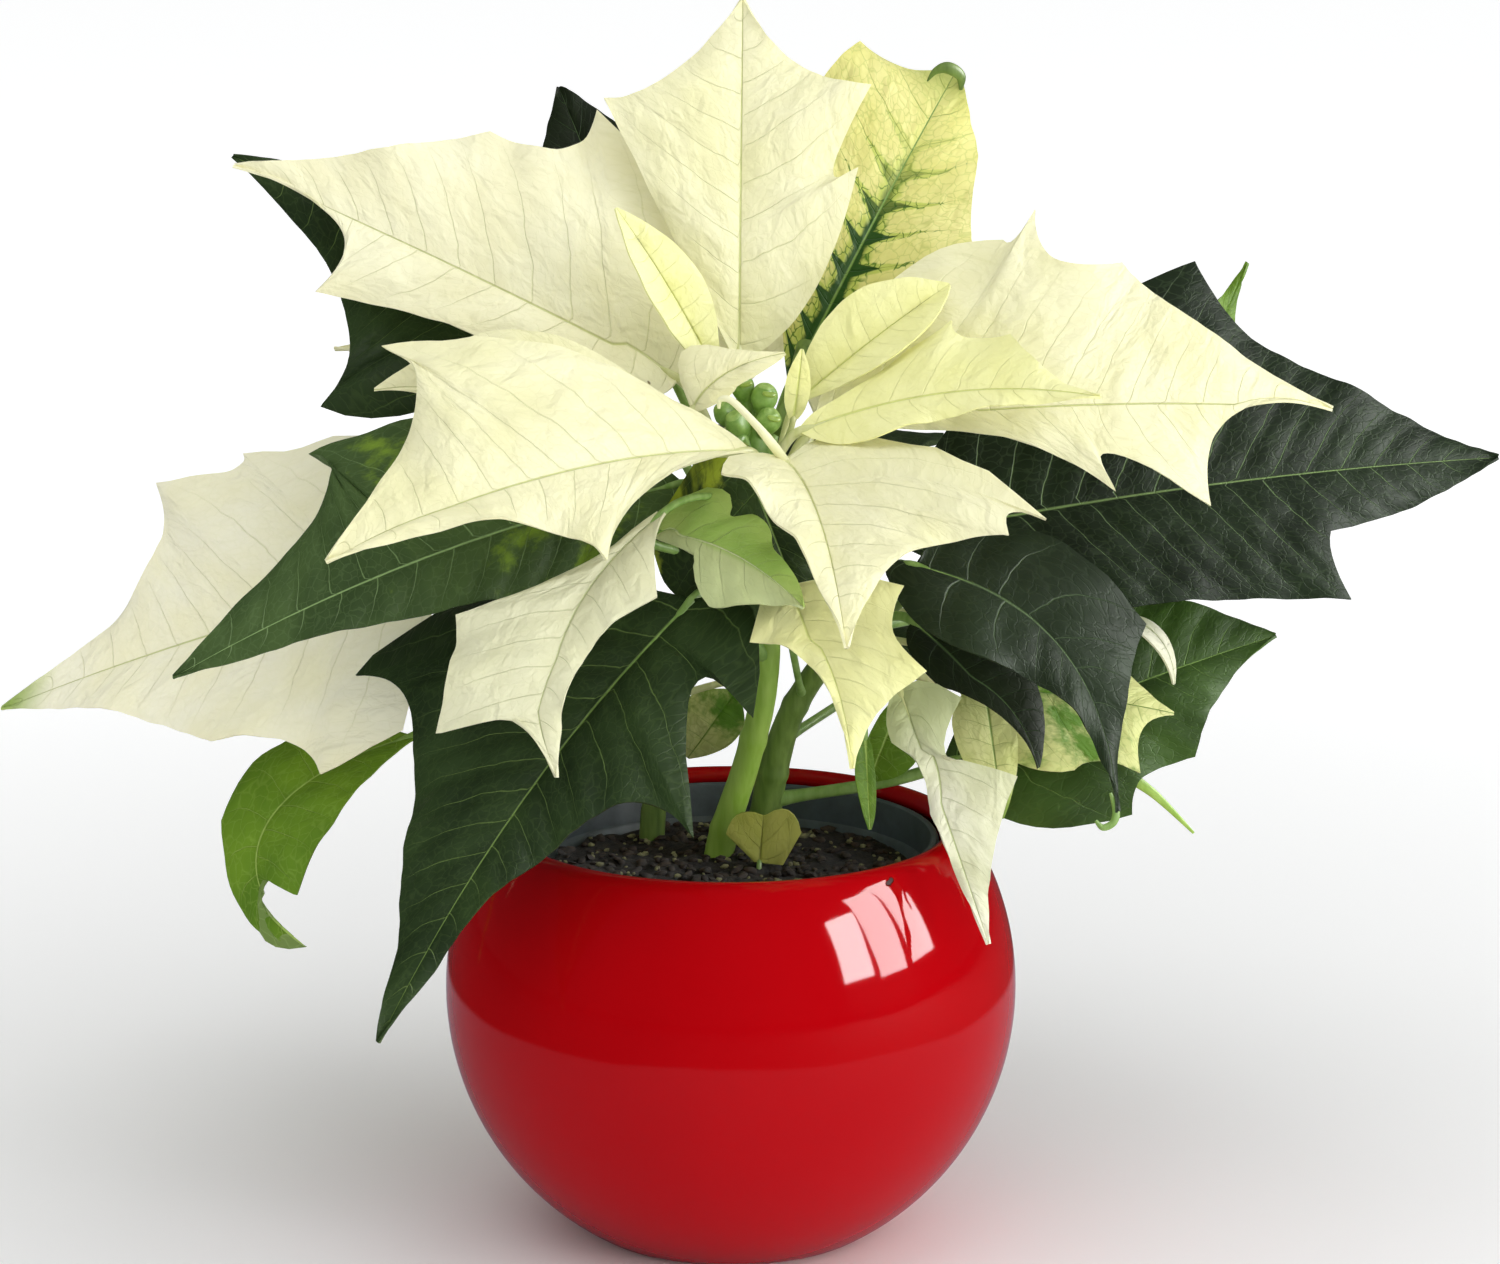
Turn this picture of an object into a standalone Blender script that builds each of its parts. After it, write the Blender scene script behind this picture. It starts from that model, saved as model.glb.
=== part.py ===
"""Poinsettia with cream bracts, growing in a nursery pot that stands in a round red glazed pot.

Lengths below are in millimetres and are turned to metres where a mesh is made.
The origin is the centre of the flat base that the red pot stands on, +Z is up, and the
side that faces the viewer is -Y.
"""
import math
import random

import bmesh
import bpy
from mathutils import Vector

MM = 0.001
GAP = 0.3
WELD = 0.00002

# The red ball pot
BALL_RADIUS = 70.0
BALL_CENTRE = 61.0
BALL_INNER_RADIUS = 64.5
LIP_HEIGHT = 102.0
LIP_RADIUS = 54.5
POT_FLOOR = 6.0
POT_SIDES = 40
INNER_LIP_DROP = 6.0
OUTER_LIP_DROP = 4.6
INNER_STATIONS = 7
OUTER_STATIONS = 15

# The grey nursery pot inside it
NURSERY_RIM_HEIGHT = 99.0
NURSERY_RIM_RADIUS = 50.8
NURSERY_TOP_RADIUS = 49.6
NURSERY_FOOT_RADIUS = 32.8
NURSERY_WALL = 1.0
NURSERY_FOOT_HEIGHT = POT_FLOOR + GAP
NURSERY_SIDES = 32
ROLL_DEPTH = 3.5
DRAIN_RADIUS = 4.0
DRAIN_RING = 20.0
DRAIN_COUNT = 4

# Peat
SOIL_HEIGHT = 89.5
SOIL_BUMP = 0.65
SOIL_CROWN = 1.0
SOIL_SIDES = 32
SOIL_RINGS = (9.0, 18.0, 27.0, 36.0, 43.0)
SOIL_WAVES = 5

# Leaves
BLADE_THICKNESS = 0.8
SLANT = 0.6
ROW_STEP = 0.13
HALF_FOOT = 1.1
HALF_TIP = 0.35
SWELL = 0.05
WAVES = 3.0
TOOTH_SPACING = 0.07
LAST_TOOTH = 0.93
SHARED_ROW = 0.045
LEAST_ROW = 0.02
RIB_ROOM = 0.2
LEFT_PHASE = 1.0
RIGHT_PHASE = 2.6

# Stems and leaf stalks
STEM_STATIONS = 12
STEM_RESOLUTION = 2
STEM_CLEARANCE = 0.36
STALK_RADIUS = 1.3
STALK_STATIONS = 3
STALK_RESOLUTION = 1
STALK_IN_RIB = (0.06, 0.14)
STALK_SINK = 0.25
STALK_TAPER = (0.9, 0.6)
STALK_END = 0.3
FALLEN_HOLE = 2.0


def start_clean():
    for old in list(bpy.data.objects):
        bpy.data.objects.remove(old, do_unlink=True)


start_clean()
plant = bpy.data.collections.new("poinsettia")
cutters = bpy.data.collections.new("cutters")
for group in (plant, cutters):
    bpy.context.scene.collection.children.link(group)


def material(name, colour, roughness):
    made = bpy.data.materials.new(name)
    made.use_nodes = True
    shader = made.node_tree.nodes["Principled BSDF"]
    shader.inputs["Base Color"].default_value = (*colour, 1.0)
    shader.inputs["Roughness"].default_value = roughness
    shader.inputs["Metallic"].default_value = 0.0
    made.diffuse_color = (*colour, 1.0)
    return made


RED_GLAZE = material("red_glaze", (0.38, 0.003, 0.008), 0.08)
GREY_PLASTIC = material("grey_plastic", (0.035, 0.045, 0.05), 0.5)
PEAT = material("peat", (0.012, 0.009, 0.007), 0.95)
STEM_GREEN = material("stem_green", (0.09, 0.19, 0.03), 0.5)
BRACT_CREAM = material("bract_cream", (0.86, 0.84, 0.52), 0.55)
BRACT_LIME = material("bract_lime", (0.5, 0.6, 0.12), 0.55)
LEAF_GREEN = material("leaf_green", (0.018, 0.045, 0.014), 0.5)
LEAF_BRIGHT = material("leaf_bright", (0.09, 0.2, 0.03), 0.5)
LEAF_DRY = material("leaf_dry", (0.2, 0.19, 0.03), 0.7)
CYATHIUM_GREEN = material("cyathium_green", (0.2, 0.36, 0.05), 0.45)


def add_object(name, mesh, finish, group=None):
    made = bpy.data.objects.new(name, mesh)
    (group or plant).objects.link(made)
    made.data.materials.append(finish)
    if group is cutters:
        made.hide_render = True
        made.display_type = "WIRE"
    return made


def applied_mesh(source):
    """The mesh of an object as its curve settings and modifiers make it."""
    bpy.context.view_layer.update()
    graph = bpy.context.evaluated_depsgraph_get()
    return bpy.data.meshes.new_from_object(source.evaluated_get(graph))


def add_boolean(target, operation, tool):
    cut = target.modifiers.new(operation.title(), "BOOLEAN")
    cut.operation = operation
    cut.object = tool


def turned(name, profile, sides, finish):
    """Turn a profile of (radius, height), listed down its outer side, about the upright axis."""
    mesh = bpy.data.meshes.new(name)
    bm = bmesh.new()
    points = [bm.verts.new((radius * MM, 0.0, height * MM)) for radius, height in profile]
    for above, below in zip(points, points[1:]):
        bm.edges.new((above, below))
    bm.to_mesh(mesh)
    bm.free()
    made = add_object(name, mesh, finish)
    screw = made.modifiers.new("Turn", "SCREW")
    screw.angle = math.tau
    screw.steps = sides
    screw.render_steps = sides
    screw.use_merge_vertices = True
    screw.merge_threshold = WELD
    screw.use_smooth_shade = False
    return made


def arc(radius, centre_height, start, end, count):
    """Points (radius, height) on a circle about the axis, from one angle to another in degrees."""
    angles = [math.radians(start + (end - start) * i / (count - 1)) for i in range(count)]
    return [(radius * math.cos(a), centre_height + radius * math.sin(a)) for a in angles]


def height_angle(radius, height):
    """Angle in degrees at which a circle about the ball's centre reaches a height."""
    return math.degrees(math.asin((height - BALL_CENTRE) / radius))


# Red pot: a ball with a flat foot, a wide mouth and a rounded lip
def make_pot():
    inner_low = height_angle(BALL_INNER_RADIUS, POT_FLOOR)
    inner_high = height_angle(BALL_INNER_RADIUS, LIP_HEIGHT - INNER_LIP_DROP)
    outer_high = height_angle(BALL_RADIUS, LIP_HEIGHT - OUTER_LIP_DROP)
    outer_low = height_angle(BALL_RADIUS, 0.0)
    profile = [(0.0, POT_FLOOR)]
    profile += arc(BALL_INNER_RADIUS, BALL_CENTRE, inner_low, inner_high, INNER_STATIONS)
    profile += [
        (LIP_RADIUS - 2.7, LIP_HEIGHT - 3.2),
        (LIP_RADIUS - 2.2, LIP_HEIGHT - 1.2),
        (LIP_RADIUS, LIP_HEIGHT),
        (LIP_RADIUS + 2.8, LIP_HEIGHT - 1.3),
    ]
    profile += arc(BALL_RADIUS, BALL_CENTRE, outer_high, outer_low, OUTER_STATIONS)
    profile += [(0.0, 0.0)]
    return turned("pot", profile, POT_SIDES, RED_GLAZE)


# Nursery pot: thin tapered plastic with a rolled rim and drain holes in its foot
def make_nursery_pot():
    foot = NURSERY_FOOT_HEIGHT
    rim = NURSERY_RIM_HEIGHT
    profile = [
        (0.0, foot + NURSERY_WALL),
        (NURSERY_FOOT_RADIUS - NURSERY_WALL, foot + NURSERY_WALL),
        (NURSERY_TOP_RADIUS - NURSERY_WALL, rim - 1.0),
        (NURSERY_TOP_RADIUS - 0.4, rim),
        (NURSERY_RIM_RADIUS, rim),
        (NURSERY_RIM_RADIUS, rim - ROLL_DEPTH),
        (NURSERY_TOP_RADIUS - 0.5, rim - ROLL_DEPTH - 0.3),
        (NURSERY_FOOT_RADIUS, foot),
        (0.0, foot),
    ]
    made = turned("nursery_pot", profile, NURSERY_SIDES, GREY_PLASTIC)
    for number in range(DRAIN_COUNT):
        turn = math.tau * (number + 0.5) / DRAIN_COUNT
        mesh = bpy.data.meshes.new("drain_hole")
        bm = bmesh.new()
        bmesh.ops.create_cone(
            bm,
            cap_ends=True,
            segments=8,
            radius1=DRAIN_RADIUS * MM,
            radius2=DRAIN_RADIUS * MM,
            depth=4.0 * NURSERY_WALL * MM,
        )
        place = Vector((math.cos(turn) * DRAIN_RING, math.sin(turn) * DRAIN_RING, foot + 0.5))
        bmesh.ops.translate(bm, verts=bm.verts, vec=place * MM)
        bm.to_mesh(mesh)
        bm.free()
        hole = add_object(f"drain_hole_{number}", mesh, GREY_PLASTIC, cutters)
        add_boolean(made, "DIFFERENCE", hole)
    return made


def nursery_radius(height):
    """Inner radius of the nursery pot at a height."""
    low = NURSERY_FOOT_HEIGHT + NURSERY_WALL
    high = NURSERY_RIM_HEIGHT - 1.0
    share = (height - low) / (high - low)
    return NURSERY_FOOT_RADIUS - NURSERY_WALL + share * (NURSERY_TOP_RADIUS - NURSERY_FOOT_RADIUS)


def make_soil():
    """A plug of peat whose top is lumpy, with a plain hole for each stem."""
    low = NURSERY_FOOT_HEIGHT + NURSERY_WALL + GAP
    rim = nursery_radius(SOIL_HEIGHT) - 2.0 * GAP
    profile = [(0.0, low), (nursery_radius(low) - 2.0 * GAP, low), (rim, SOIL_HEIGHT)]
    profile += [(ring, SOIL_HEIGHT) for ring in reversed(SOIL_RINGS)]
    profile += [(0.0, SOIL_HEIGHT)]
    bm = bmesh.new()
    points = [bm.verts.new((radius * MM, 0.0, height * MM)) for radius, height in profile]
    edges = [bm.edges.new(pair) for pair in zip(points, points[1:])]
    bmesh.ops.spin(
        bm,
        geom=points + edges,
        axis=(0.0, 0.0, 1.0),
        cent=(0.0, 0.0, 0.0),
        angle=math.tau,
        steps=SOIL_SIDES,
        use_merge=True,
    )
    bmesh.ops.remove_doubles(bm, verts=bm.verts, dist=WELD)
    dice = random.Random(7)
    lumps = []
    for _ in range(SOIL_WAVES):
        lumps.append((dice.uniform(0.1, 0.3), dice.uniform(0.1, 0.3), dice.uniform(0.0, 6.0)))
    for vert in bm.verts:
        x, y, z = vert.co / MM
        reach = math.hypot(x, y)
        if z > SOIL_HEIGHT - 1.0 and reach < SOIL_RINGS[-1] + 1.0:
            rough = sum(math.sin(x * a + phase) * math.cos(y * b - phase) for a, b, phase in lumps)
            vert.co.z += (SOIL_BUMP * rough + SOIL_CROWN * (1.0 - reach / SOIL_RINGS[-1])) * MM
    bmesh.ops.triangulate(bm, faces=bm.faces)
    bmesh.ops.recalc_face_normals(bm, faces=bm.faces)
    mesh = bpy.data.meshes.new("soil")
    bm.to_mesh(mesh)
    bm.free()
    return add_object("soil", mesh, PEAT)


# Stems and petioles are tubes on smooth curves
def smooth_point(points, share):
    """Point on a smooth curve through the listed points, share running from 0 to 1."""
    spans = len(points) - 1
    place = min(max(share, 0.0), 1.0) * spans
    number = min(int(place), spans - 1)
    t = place - number
    before = points[max(number - 1, 0)]
    start = points[number]
    end = points[number + 1]
    after = points[min(number + 2, spans)]
    return 0.5 * (
        2.0 * start
        + (end - before) * t
        + (2.0 * before - 5.0 * start + 4.0 * end - after) * t**2
        + (3.0 * start - before - 3.0 * end + after) * t**3
    )


def tube_object(name, points, radii, finish, group, resolution):
    """A closed tube along points, each with its own radius, made a mesh with welded caps."""
    curve = bpy.data.curves.new(name, "CURVE")
    curve.dimensions = "3D"
    curve.bevel_depth = MM
    curve.bevel_resolution = resolution
    curve.use_fill_caps = True
    spline = curve.splines.new("POLY")
    spline.points.add(len(points) - 1)
    for slot, point, radius in zip(spline.points, points, radii):
        slot.co = (*(point * MM), 1.0)
        slot.radius = radius
    guide = bpy.data.objects.new(name + "_guide", curve)
    cutters.objects.link(guide)
    solid = applied_mesh(guide)
    bpy.data.objects.remove(guide)
    bm = bmesh.new()
    bm.from_mesh(solid)
    bmesh.ops.remove_doubles(bm, verts=bm.verts, dist=WELD)
    bmesh.ops.recalc_face_normals(bm, faces=bm.faces)
    bm.to_mesh(solid)
    bm.free()
    solid.name = name
    solid.materials.clear()
    return add_object(name, solid, finish, group)


def line(*triples):
    return [Vector(triple) for triple in triples]


# Each stem: the points of its middle from its foot in the soil to its top, and its radii
STEMS = {
    "main": (
        line((-3, 12, 66), (-3, 12, 90), (4, 8, 115), (8, 5, 133), (9, 2, 152), (7, 0, 172),
             (6, -2, 190)),
        (3.6, 3.7, 3.3, 3.2, 3.1, 3.0, 3.4),
    ),
    "side": (
        line((8, 21, 66), (8, 21, 90), (10, 18, 108), (15, 14, 126), (24, 10, 141), (34, 6, 151),
             (42, 4, 158)),
        (4.0, 4.0, 3.8, 3.2, 3.0, 2.8, 2.4),
    ),
    "left": (
        line((-20, 28, 66), (-20, 28, 90), (-19, 28, 106), (-22, 29, 121), (-33, 30, 138),
             (-50, 31, 150), (-66, 30, 158)),
        (3.2, 3.2, 3.1, 3.0, 2.8, 2.5, 2.2),
    ),
}


def stem_point(name, height):
    """Middle of a stem at a height above the base."""
    points = STEMS[name][0]
    low = 0.0
    high = 1.0
    for _ in range(30):
        middle = (low + high) / 2.0
        if smooth_point(points, middle).z < height:
            low = middle
        else:
            high = middle
    return smooth_point(points, low)


def make_stem(name):
    """A stem, with a larger copy of itself that keeps the soil and the petioles clear of it."""
    points, radii = STEMS[name]
    shares = [i / STEM_STATIONS for i in range(STEM_STATIONS + 1)]
    path = [smooth_point(points, share) for share in shares]
    sizes = line(*[(radius, 0.0, 0.0) for radius in radii])
    thickness = [smooth_point(sizes, share).x for share in shares]
    tube_object("stem_" + name, path, thickness, STEM_GREEN, plant, STEM_RESOLUTION)
    below = path[0] - Vector((0, 0, GAP))
    above = path[-1] + (path[-1] - path[-2]).normalized() * GAP
    wider = [size + STEM_CLEARANCE for size in thickness]
    longer = [below] + path[1:-1] + [above]
    return tube_object("clearance_" + name, longer, wider, STEM_GREEN, cutters, STEM_RESOLUTION)


# Leaves and bracts
def leaf_frame(base, tip, face):
    """The base, the unit directions along, to the right of and above a blade, and its length."""
    base = Vector(base)
    chord = Vector(tip) - base
    along = chord.normalized()
    up = Vector(face)
    up = (up - along * up.dot(along)).normalized()
    return base, along, along.cross(up), up, chord.length


def bent(frame, arch, x, y, rise):
    """Place leaf measures in space: x along the chord, y to the right, rise above the face."""
    base, along, side, up, length = frame
    t = x / length
    slope = 4.0 * arch * (1.0 - 2.0 * t) / length
    tangent = (along + up * slope).normalized()
    normal = side.cross(tangent)
    return base + along * x + up * (4.0 * arch * t * (1.0 - t)) + side * y + normal * rise


def bow(start, through, end, t):
    """Point at t on a curve that passes the middle point half way."""
    control = 2.0 * through - (start + end) / 2.0
    return start * (1.0 - t) ** 2 + control * (2.0 * t * (1.0 - t)) + end * t**2


def rib_point(length, rib, t):
    return bow(Vector((0.0, 0.0)), Vector(rib), Vector((length, 0.0)), t)


def kept_inside(spot, left, right):
    """The rib keeps away from both margins where a blade's tip bends off the rib's own curve."""
    room = (right.y - left.y) * RIB_ROOM
    spot.y = min(max(spot.y, left.y + room), right.y - room)
    return spot


def margin(outline, length, rib):
    """Stations along the rib and corners for one margin, listed as bow, tooth, bow, ... bow."""
    stations = [0.0]
    corners = [Vector((0.0, HALF_FOOT))]
    for x, y in outline[1::2]:
        share = (x - SLANT * abs(y - rib[1])) / length
        stations.append(min(max(share, stations[-1] + TOOTH_SPACING), LAST_TOOTH))
        corners.append(Vector((x, y)))
    stations.append(1.0)
    corners.append(Vector((length, HALF_TIP)))
    bows = [Vector(point) for point in outline[0::2]]
    return stations, corners, bows


def margin_point(edge, share):
    stations, corners, bows = edge
    for number, through in enumerate(bows):
        start = stations[number]
        end = stations[number + 1]
        if share <= end:
            return bow(corners[number], through, corners[number + 1], (share - start) / (end - start))
    return corners[-1]


def share_rows(left, right):
    """Teeth that stand nearly opposite each other share one row of faces."""
    for i in range(1, len(right) - 1):
        nearest = min(left[1:-1], key=lambda mark: abs(mark - right[i]), default=None)
        if nearest is None or abs(nearest - right[i]) > SHARED_ROW:
            continue
        if right[i - 1] + LEAST_ROW < nearest < right[i + 1] - LEAST_ROW:
            right[i] = nearest


def blade_rows(left_edge, right_edge):
    """Shares of the rib at which rows of faces cross the blade: every tooth and even steps between."""
    marks = sorted(set(left_edge[0] + right_edge[0]))
    rows = [marks[0]]
    for mark in marks[1:]:
        if mark - rows[-1] < LEAST_ROW:
            continue
        start = rows[-1]
        parts = max(1, math.ceil((mark - start) / ROW_STEP - 0.25))
        rows += [start + (mark - start) * (i + 1) / parts for i in range(parts)]
    rows[-1] = 1.0
    return rows


LEAVES = []


def leaf(name, finish, stem, height, base, tip, face, left, right, **shape):
    """Note one leaf or bract: where it joins its stem, how it lies, and both margins.

    The margins are measured on the flattened blade from its base, x towards the tip and y out
    from the chord to that side, as bow, tooth, bow, tooth, ... bow.
    """
    LEAVES.append((name, finish, stem, height, base, tip, face, left, right, shape))


def make_leaf(name, finish, stem, height, base, tip, face, left, right, shape, clearances):
    frame = leaf_frame(base, tip, face)
    length = frame[4]
    rib = shape.get("rib", (length / 2.0, 0.0))
    arch = shape.get("arch", 0.0)
    fold = math.radians(shape.get("fold", 0.0))
    ruffle = shape.get("ruffle", 0.0)
    columns = shape.get("columns", 2)
    left_edge = margin([(x, -y) for x, y in left], length, rib)
    left_edge[1][0].y = -HALF_FOOT
    left_edge[1][-1].y = -HALF_TIP
    right_edge = margin(right, length, rib)
    share_rows(left_edge[0], right_edge[0])
    rows = blade_rows(left_edge, right_edge)
    spans = len(rows) - 1
    bm = bmesh.new()
    bmesh.ops.create_grid(bm, x_segments=spans, y_segments=2 * columns, size=0.5)
    for vert in bm.verts:
        share = rows[round((vert.co.x + 0.5) * spans)]
        column = round((vert.co.y + 0.5) * 2 * columns) - columns
        out = abs(column) / columns
        left_point = margin_point(left_edge, share)
        right_point = margin_point(right_edge, share)
        middle = kept_inside(rib_point(length, rib, share), left_point, right_point)
        reach = ((left_point if column > 0 else right_point) - middle) * out
        phase = LEFT_PHASE if column > 0 else RIGHT_PHASE
        wave = math.sin(math.tau * WAVES * share + phase)
        hump = 4.0 * SWELL * reach.length * (1.0 - out)
        rise = reach.length * math.sin(fold) + ruffle * out**2 * wave + hump
        spot = middle + Vector((reach.x, reach.y * math.cos(fold)))
        vert.co = bent(frame, arch, spot.x, spot.y, rise) * MM
    bmesh.ops.triangulate(bm, faces=bm.faces)
    mesh = bpy.data.meshes.new(name)
    bm.to_mesh(mesh)
    bm.free()
    made = add_object(name, mesh, finish)
    shell = made.modifiers.new("Thickness", "SOLIDIFY")
    shell.thickness = BLADE_THICKNESS * MM
    shell.offset = 0.0
    foot = Vector(FALLEN_FOOT) if stem == "soil" else stem_point(stem, height)
    stalk = make_petiole(name, foot, frame, arch, rib, shape)
    add_boolean(made, "UNION", stalk)
    if stem in clearances:
        add_boolean(made, "DIFFERENCE", clearances[stem])
    return made


def make_petiole(name, foot, frame, arch, rib, shape):
    """The stalk from the middle of the stem to the blade, sinking into the rib."""
    base = frame[0]
    length = frame[4]
    radius = shape.get("petiole", STALK_RADIUS)
    inside = [rib_point(length, rib, share) for share in STALK_IN_RIB]
    first = bent(frame, arch, inside[0].x, inside[0].y, -STALK_SINK)
    second = bent(frame, arch, inside[1].x, inside[1].y, 0.0)
    reach = (base - foot).length / 3.0
    lift = Vector(shape.get("lift", (0.0, 0.0, 0.0)))
    out = (base - foot).normalized()
    leave = foot + (out + lift).normalized() * reach
    arrive = base - (first - base).normalized() * reach
    path = []
    for i in range(STALK_STATIONS + 1):
        t = i / STALK_STATIONS
        near = foot * (1 - t) ** 3 + leave * 3 * t * (1 - t) ** 2
        far = arrive * 3 * t**2 * (1 - t) + base * t**3
        path.append(near + far)
    path += [first, second]
    sizes = [radius] * STALK_STATIONS + [radius * share for share in STALK_TAPER] + [STALK_END]
    return tube_object("petiole_" + name, path, sizes, STEM_GREEN, cutters, STALK_RESOLUTION)


# Cream bracts of the main head, from the innermost outwards
leaf("bract_cup", BRACT_CREAM, "main", 188, (-9, -7, 205), (13, -12, 219), (0.2, -0.9, 0.3),
     [(4, 12), (12, 11), (18, 6)], [(8, 2), (13, 1), (21, 1)],
     arch=2, petiole=1.0, columns=1, rib=(12, -3), lift=(-0.5, 0, -0.4))
leaf("bract_slim", BRACT_CREAM, "main", 188, (15, -3, 202), (17, -5, 219), (0.1, -1, 0.1),
     [(8, 3)], [(8, 3)], arch=1, petiole=0.8, columns=1, lift=(0.2, 0.5, -0.3))
leaf("bract_young_left", BRACT_CREAM, "main", 186, (-4, 8, 212), (-27, -2, 252), (0.5, -0.8, 0.2),
     [(23, 8)], [(23, 8)], arch=2, fold=20, petiole=1.0, columns=1, lift=(-0.8, 0.6, -0.9))
leaf("bract_young_right", BRACT_CREAM, "main", 186, (17, 3, 206), (52, -2, 234), (-0.3, -0.9, 0.3),
     [(24, 12)], [(28, 8)], arch=2, fold=20, petiole=1.0, lift=(0.6, 0.2, -0.8))
leaf("bract_top", BRACT_CREAM, "main", 183, (2, 12, 214), (3, 26, 299), (0, -1, 0.25),
     [(31, 17), (62, 33), (68, 17)], [(15, 17), (46, 28), (46, 22), (66, 31), (71, 13)],
     arch=4, ruffle=1.2, lift=(0, 0.8, -0.8))
leaf("bract_right_front", BRACT_CREAM, "main", 187, (17, -8, 200), (86, -28, 211), (0, -0.75, 0.65),
     [(15, 11), (37, 23), (40, 19), (51, 19), (60, 8)], [(13, 6), (27, 4), (50, 1)],
     arch=3, ruffle=1.0, rib=(38, -4), lift=(0.6, -0.3, -0.4))
leaf("bract_left", BRACT_CREAM, "main", 185, (4, -14, 196), (-91, -58, 178), (0, -0.75, 0.66),
     [(32, 9), (50, 26), (66, 9)], [(29, 29), (75, 48), (75, 27)],
     arch=12, ruffle=1.5, columns=3, lift=(-0.2, -0.6, -0.4))
leaf("bract_upper_left", BRACT_CREAM, "main", 180, (-13, 15, 209), (-119, 16, 260), (0.1, -0.93, 0.35),
     [(9, 10), (35, 14), (59, 14), (87, 20), (89, 2)], [(10, 31), (45, 51), (48, 38), (66, 34), (93, 15)],
     arch=5, ruffle=1.5, columns=3, lift=(-0.6, 0.4, -0.6))
leaf("bract_right", BRACT_CREAM, "main", 178, (20, 6, 198), (144, 4, 203), (0.05, -0.9, 0.4),
     [(20, 34), (47, 42), (50, 42), (55, 49), (59, 36), (75, 35), (93, 19)],
     [(41, 6), (71, 21), (70, 12), (93, 25), (99, 3)],
     arch=13, ruffle=1.5, columns=3, lift=(0.3, 0.3, -0.4))
leaf("bract_green_veined", BRACT_LIME, "main", 174, (15, 24, 207), (56, 54, 280), (-0.1, -1, 0.3),
     [(35, 22), (60, 30), (72, 28), (85, 25), (84, 12)], [(22, 19), (50, 24), (57, 20), (71, 15), (80, 8)],
     arch=4, ruffle=1.2, lift=(0, 0.6, -0.4))
leaf("bract_front", BRACT_CREAM, "main", 182, (13, -15, 194), (26, -80, 163), (0.2, -0.65, 0.75),
     [(0, 26), (46, 48), (44, 42), (49, 39), (52, 17)], [(4, 13), (21, 21), (44, 9)],
     arch=8, ruffle=1.2, columns=3, fold=12, lift=(0.4, -0.6, 0))
leaf("bract_left_under", BRACT_CREAM, "main", 172, (-14, -2, 203), (-84, -10, 210), (0, -0.93, 0.35),
     [(24, 9), (46, 8), (58, 1)], [(25, 15), (47, 15), (59, 9)], arch=3, columns=1)
leaf("bract_front_left", BRACT_CREAM, "main", 180, (-16, -30, 184), (-39, -66, 130), (-0.2, -0.9, 0.4),
     [(10, 6), (22, 8), (44, -3)], [(24, 16), (40, 35), (52, 32), (67, 31), (58, 17)],
     arch=6, ruffle=1.0, rib=(38, 9), lift=(0.1, -0.6, 1.4))
leaf("bract_front_low", BRACT_CREAM, "side", 131, (14, -32, 167), (28, -62, 131), (0, -0.9, 0.45),
     [(2, 14), (9, 25), (20, 19), (33, 23), (39, 9)], [(1, 7), (11, 13), (25, 1)],
     arch=4, ruffle=0.8, lift=(0, -1, -0.2))

# Green leaves of the main stem
leaf("leaf_curled", LEAF_BRIGHT, "main", 166, (-18, -18, 177), (17, -46, 165), (0, -0.8, 0.6),
     [(-5, 9), (1, 15), (12, 11), (20, 13), (33, 8)], [(-3, 7), (8, 13), (23, 11), (36, 3), (41, 1)],
     arch=3, lift=(0, -0.5, 0))
leaf("leaf_mid", LEAF_GREEN, "main", 174, (7, -7, 179), (20, -9, 156), (0, -1, 0.1),
     [(1, 8), (7, 15), (16, 8)], [(2, 6), (10, 11), (20, 6)], arch=2)
leaf("leaf_left", LEAF_GREEN, "main", 160, (-12, -2, 186), (-131, -26, 144), (0, -0.8, 0.6),
     [(10, 4), (28, 21), (75, 12)], [(30, 28), (80, 38), (83, 22)],
     arch=12, ruffle=1.2, columns=3, lift=(-0.6, 0, 0))
leaf("leaf_upper_left", LEAF_GREEN, "main", 156, (-46, 36, 219), (-121, 30, 261), (0.1, -0.9, 0.4),
     [(17, 34), (40, 46), (47, 20)], [(28, 13), (52, 12), (68, 7)], arch=5, ruffle=1.0)
leaf("leaf_right", LEAF_GREEN, "main", 159, (40, 22, 168), (190, 34, 186), (0, -0.85, 0.52),
     [(33, 38), (85, 59), (91, 44), (101, 33), (127, 15)],
     [(26, 19), (54, 29), (78, 30), (107, 34), (104, 24), (105, 16), (130, 10)],
     arch=8, ruffle=1.5, columns=3, petiole=1.6)
leaf("leaf_front_left", LEAF_GREEN, "main", 142, (-9, -24, 162), (-80, -72, 69), (-0.4, -0.7, 0.5),
     [(-4, 16), (20, 37), (19, 17), (51, 43), (49, 30), (57, 20), (86, 8)],
     [(21, 44), (56, 62), (54, 48), (61, 37), (94, 15)],
     arch=9, ruffle=1.5, columns=3, petiole=1.6)

# Leaves and bracts of the right shoot
leaf("leaf_right_drooping", LEAF_GREEN, "side", 155, (44, -12, 168), (90, -44, 116), (0.25, -0.85, 0.45),
     [(4, 25), (45, 33), (58, 16)], [(22, 9), (36, 1), (57, -5)], arch=8, rib=(38, -12), ruffle=1.0)
leaf("leaf_right_dark", LEAF_GREEN, "side", 151, (44, -6, 153), (73, -26, 122), (0.3, -0.8, 0.5),
     [(25, 13)], [(6, 7), (17, 8), (34, 0)], arch=4, columns=1)
leaf("leaf_low_right", LEAF_GREEN, "side", 102, (53, 14, 113), (135, 24, 143), (0, -0.8, 0.6),
     [(39, 29), (62, 20), (76, 12)], [(11, 22), (37, 31), (44, 23), (57, 23), (70, 9)],
     arch=4, ruffle=1.0, petiole=1.7)
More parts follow.
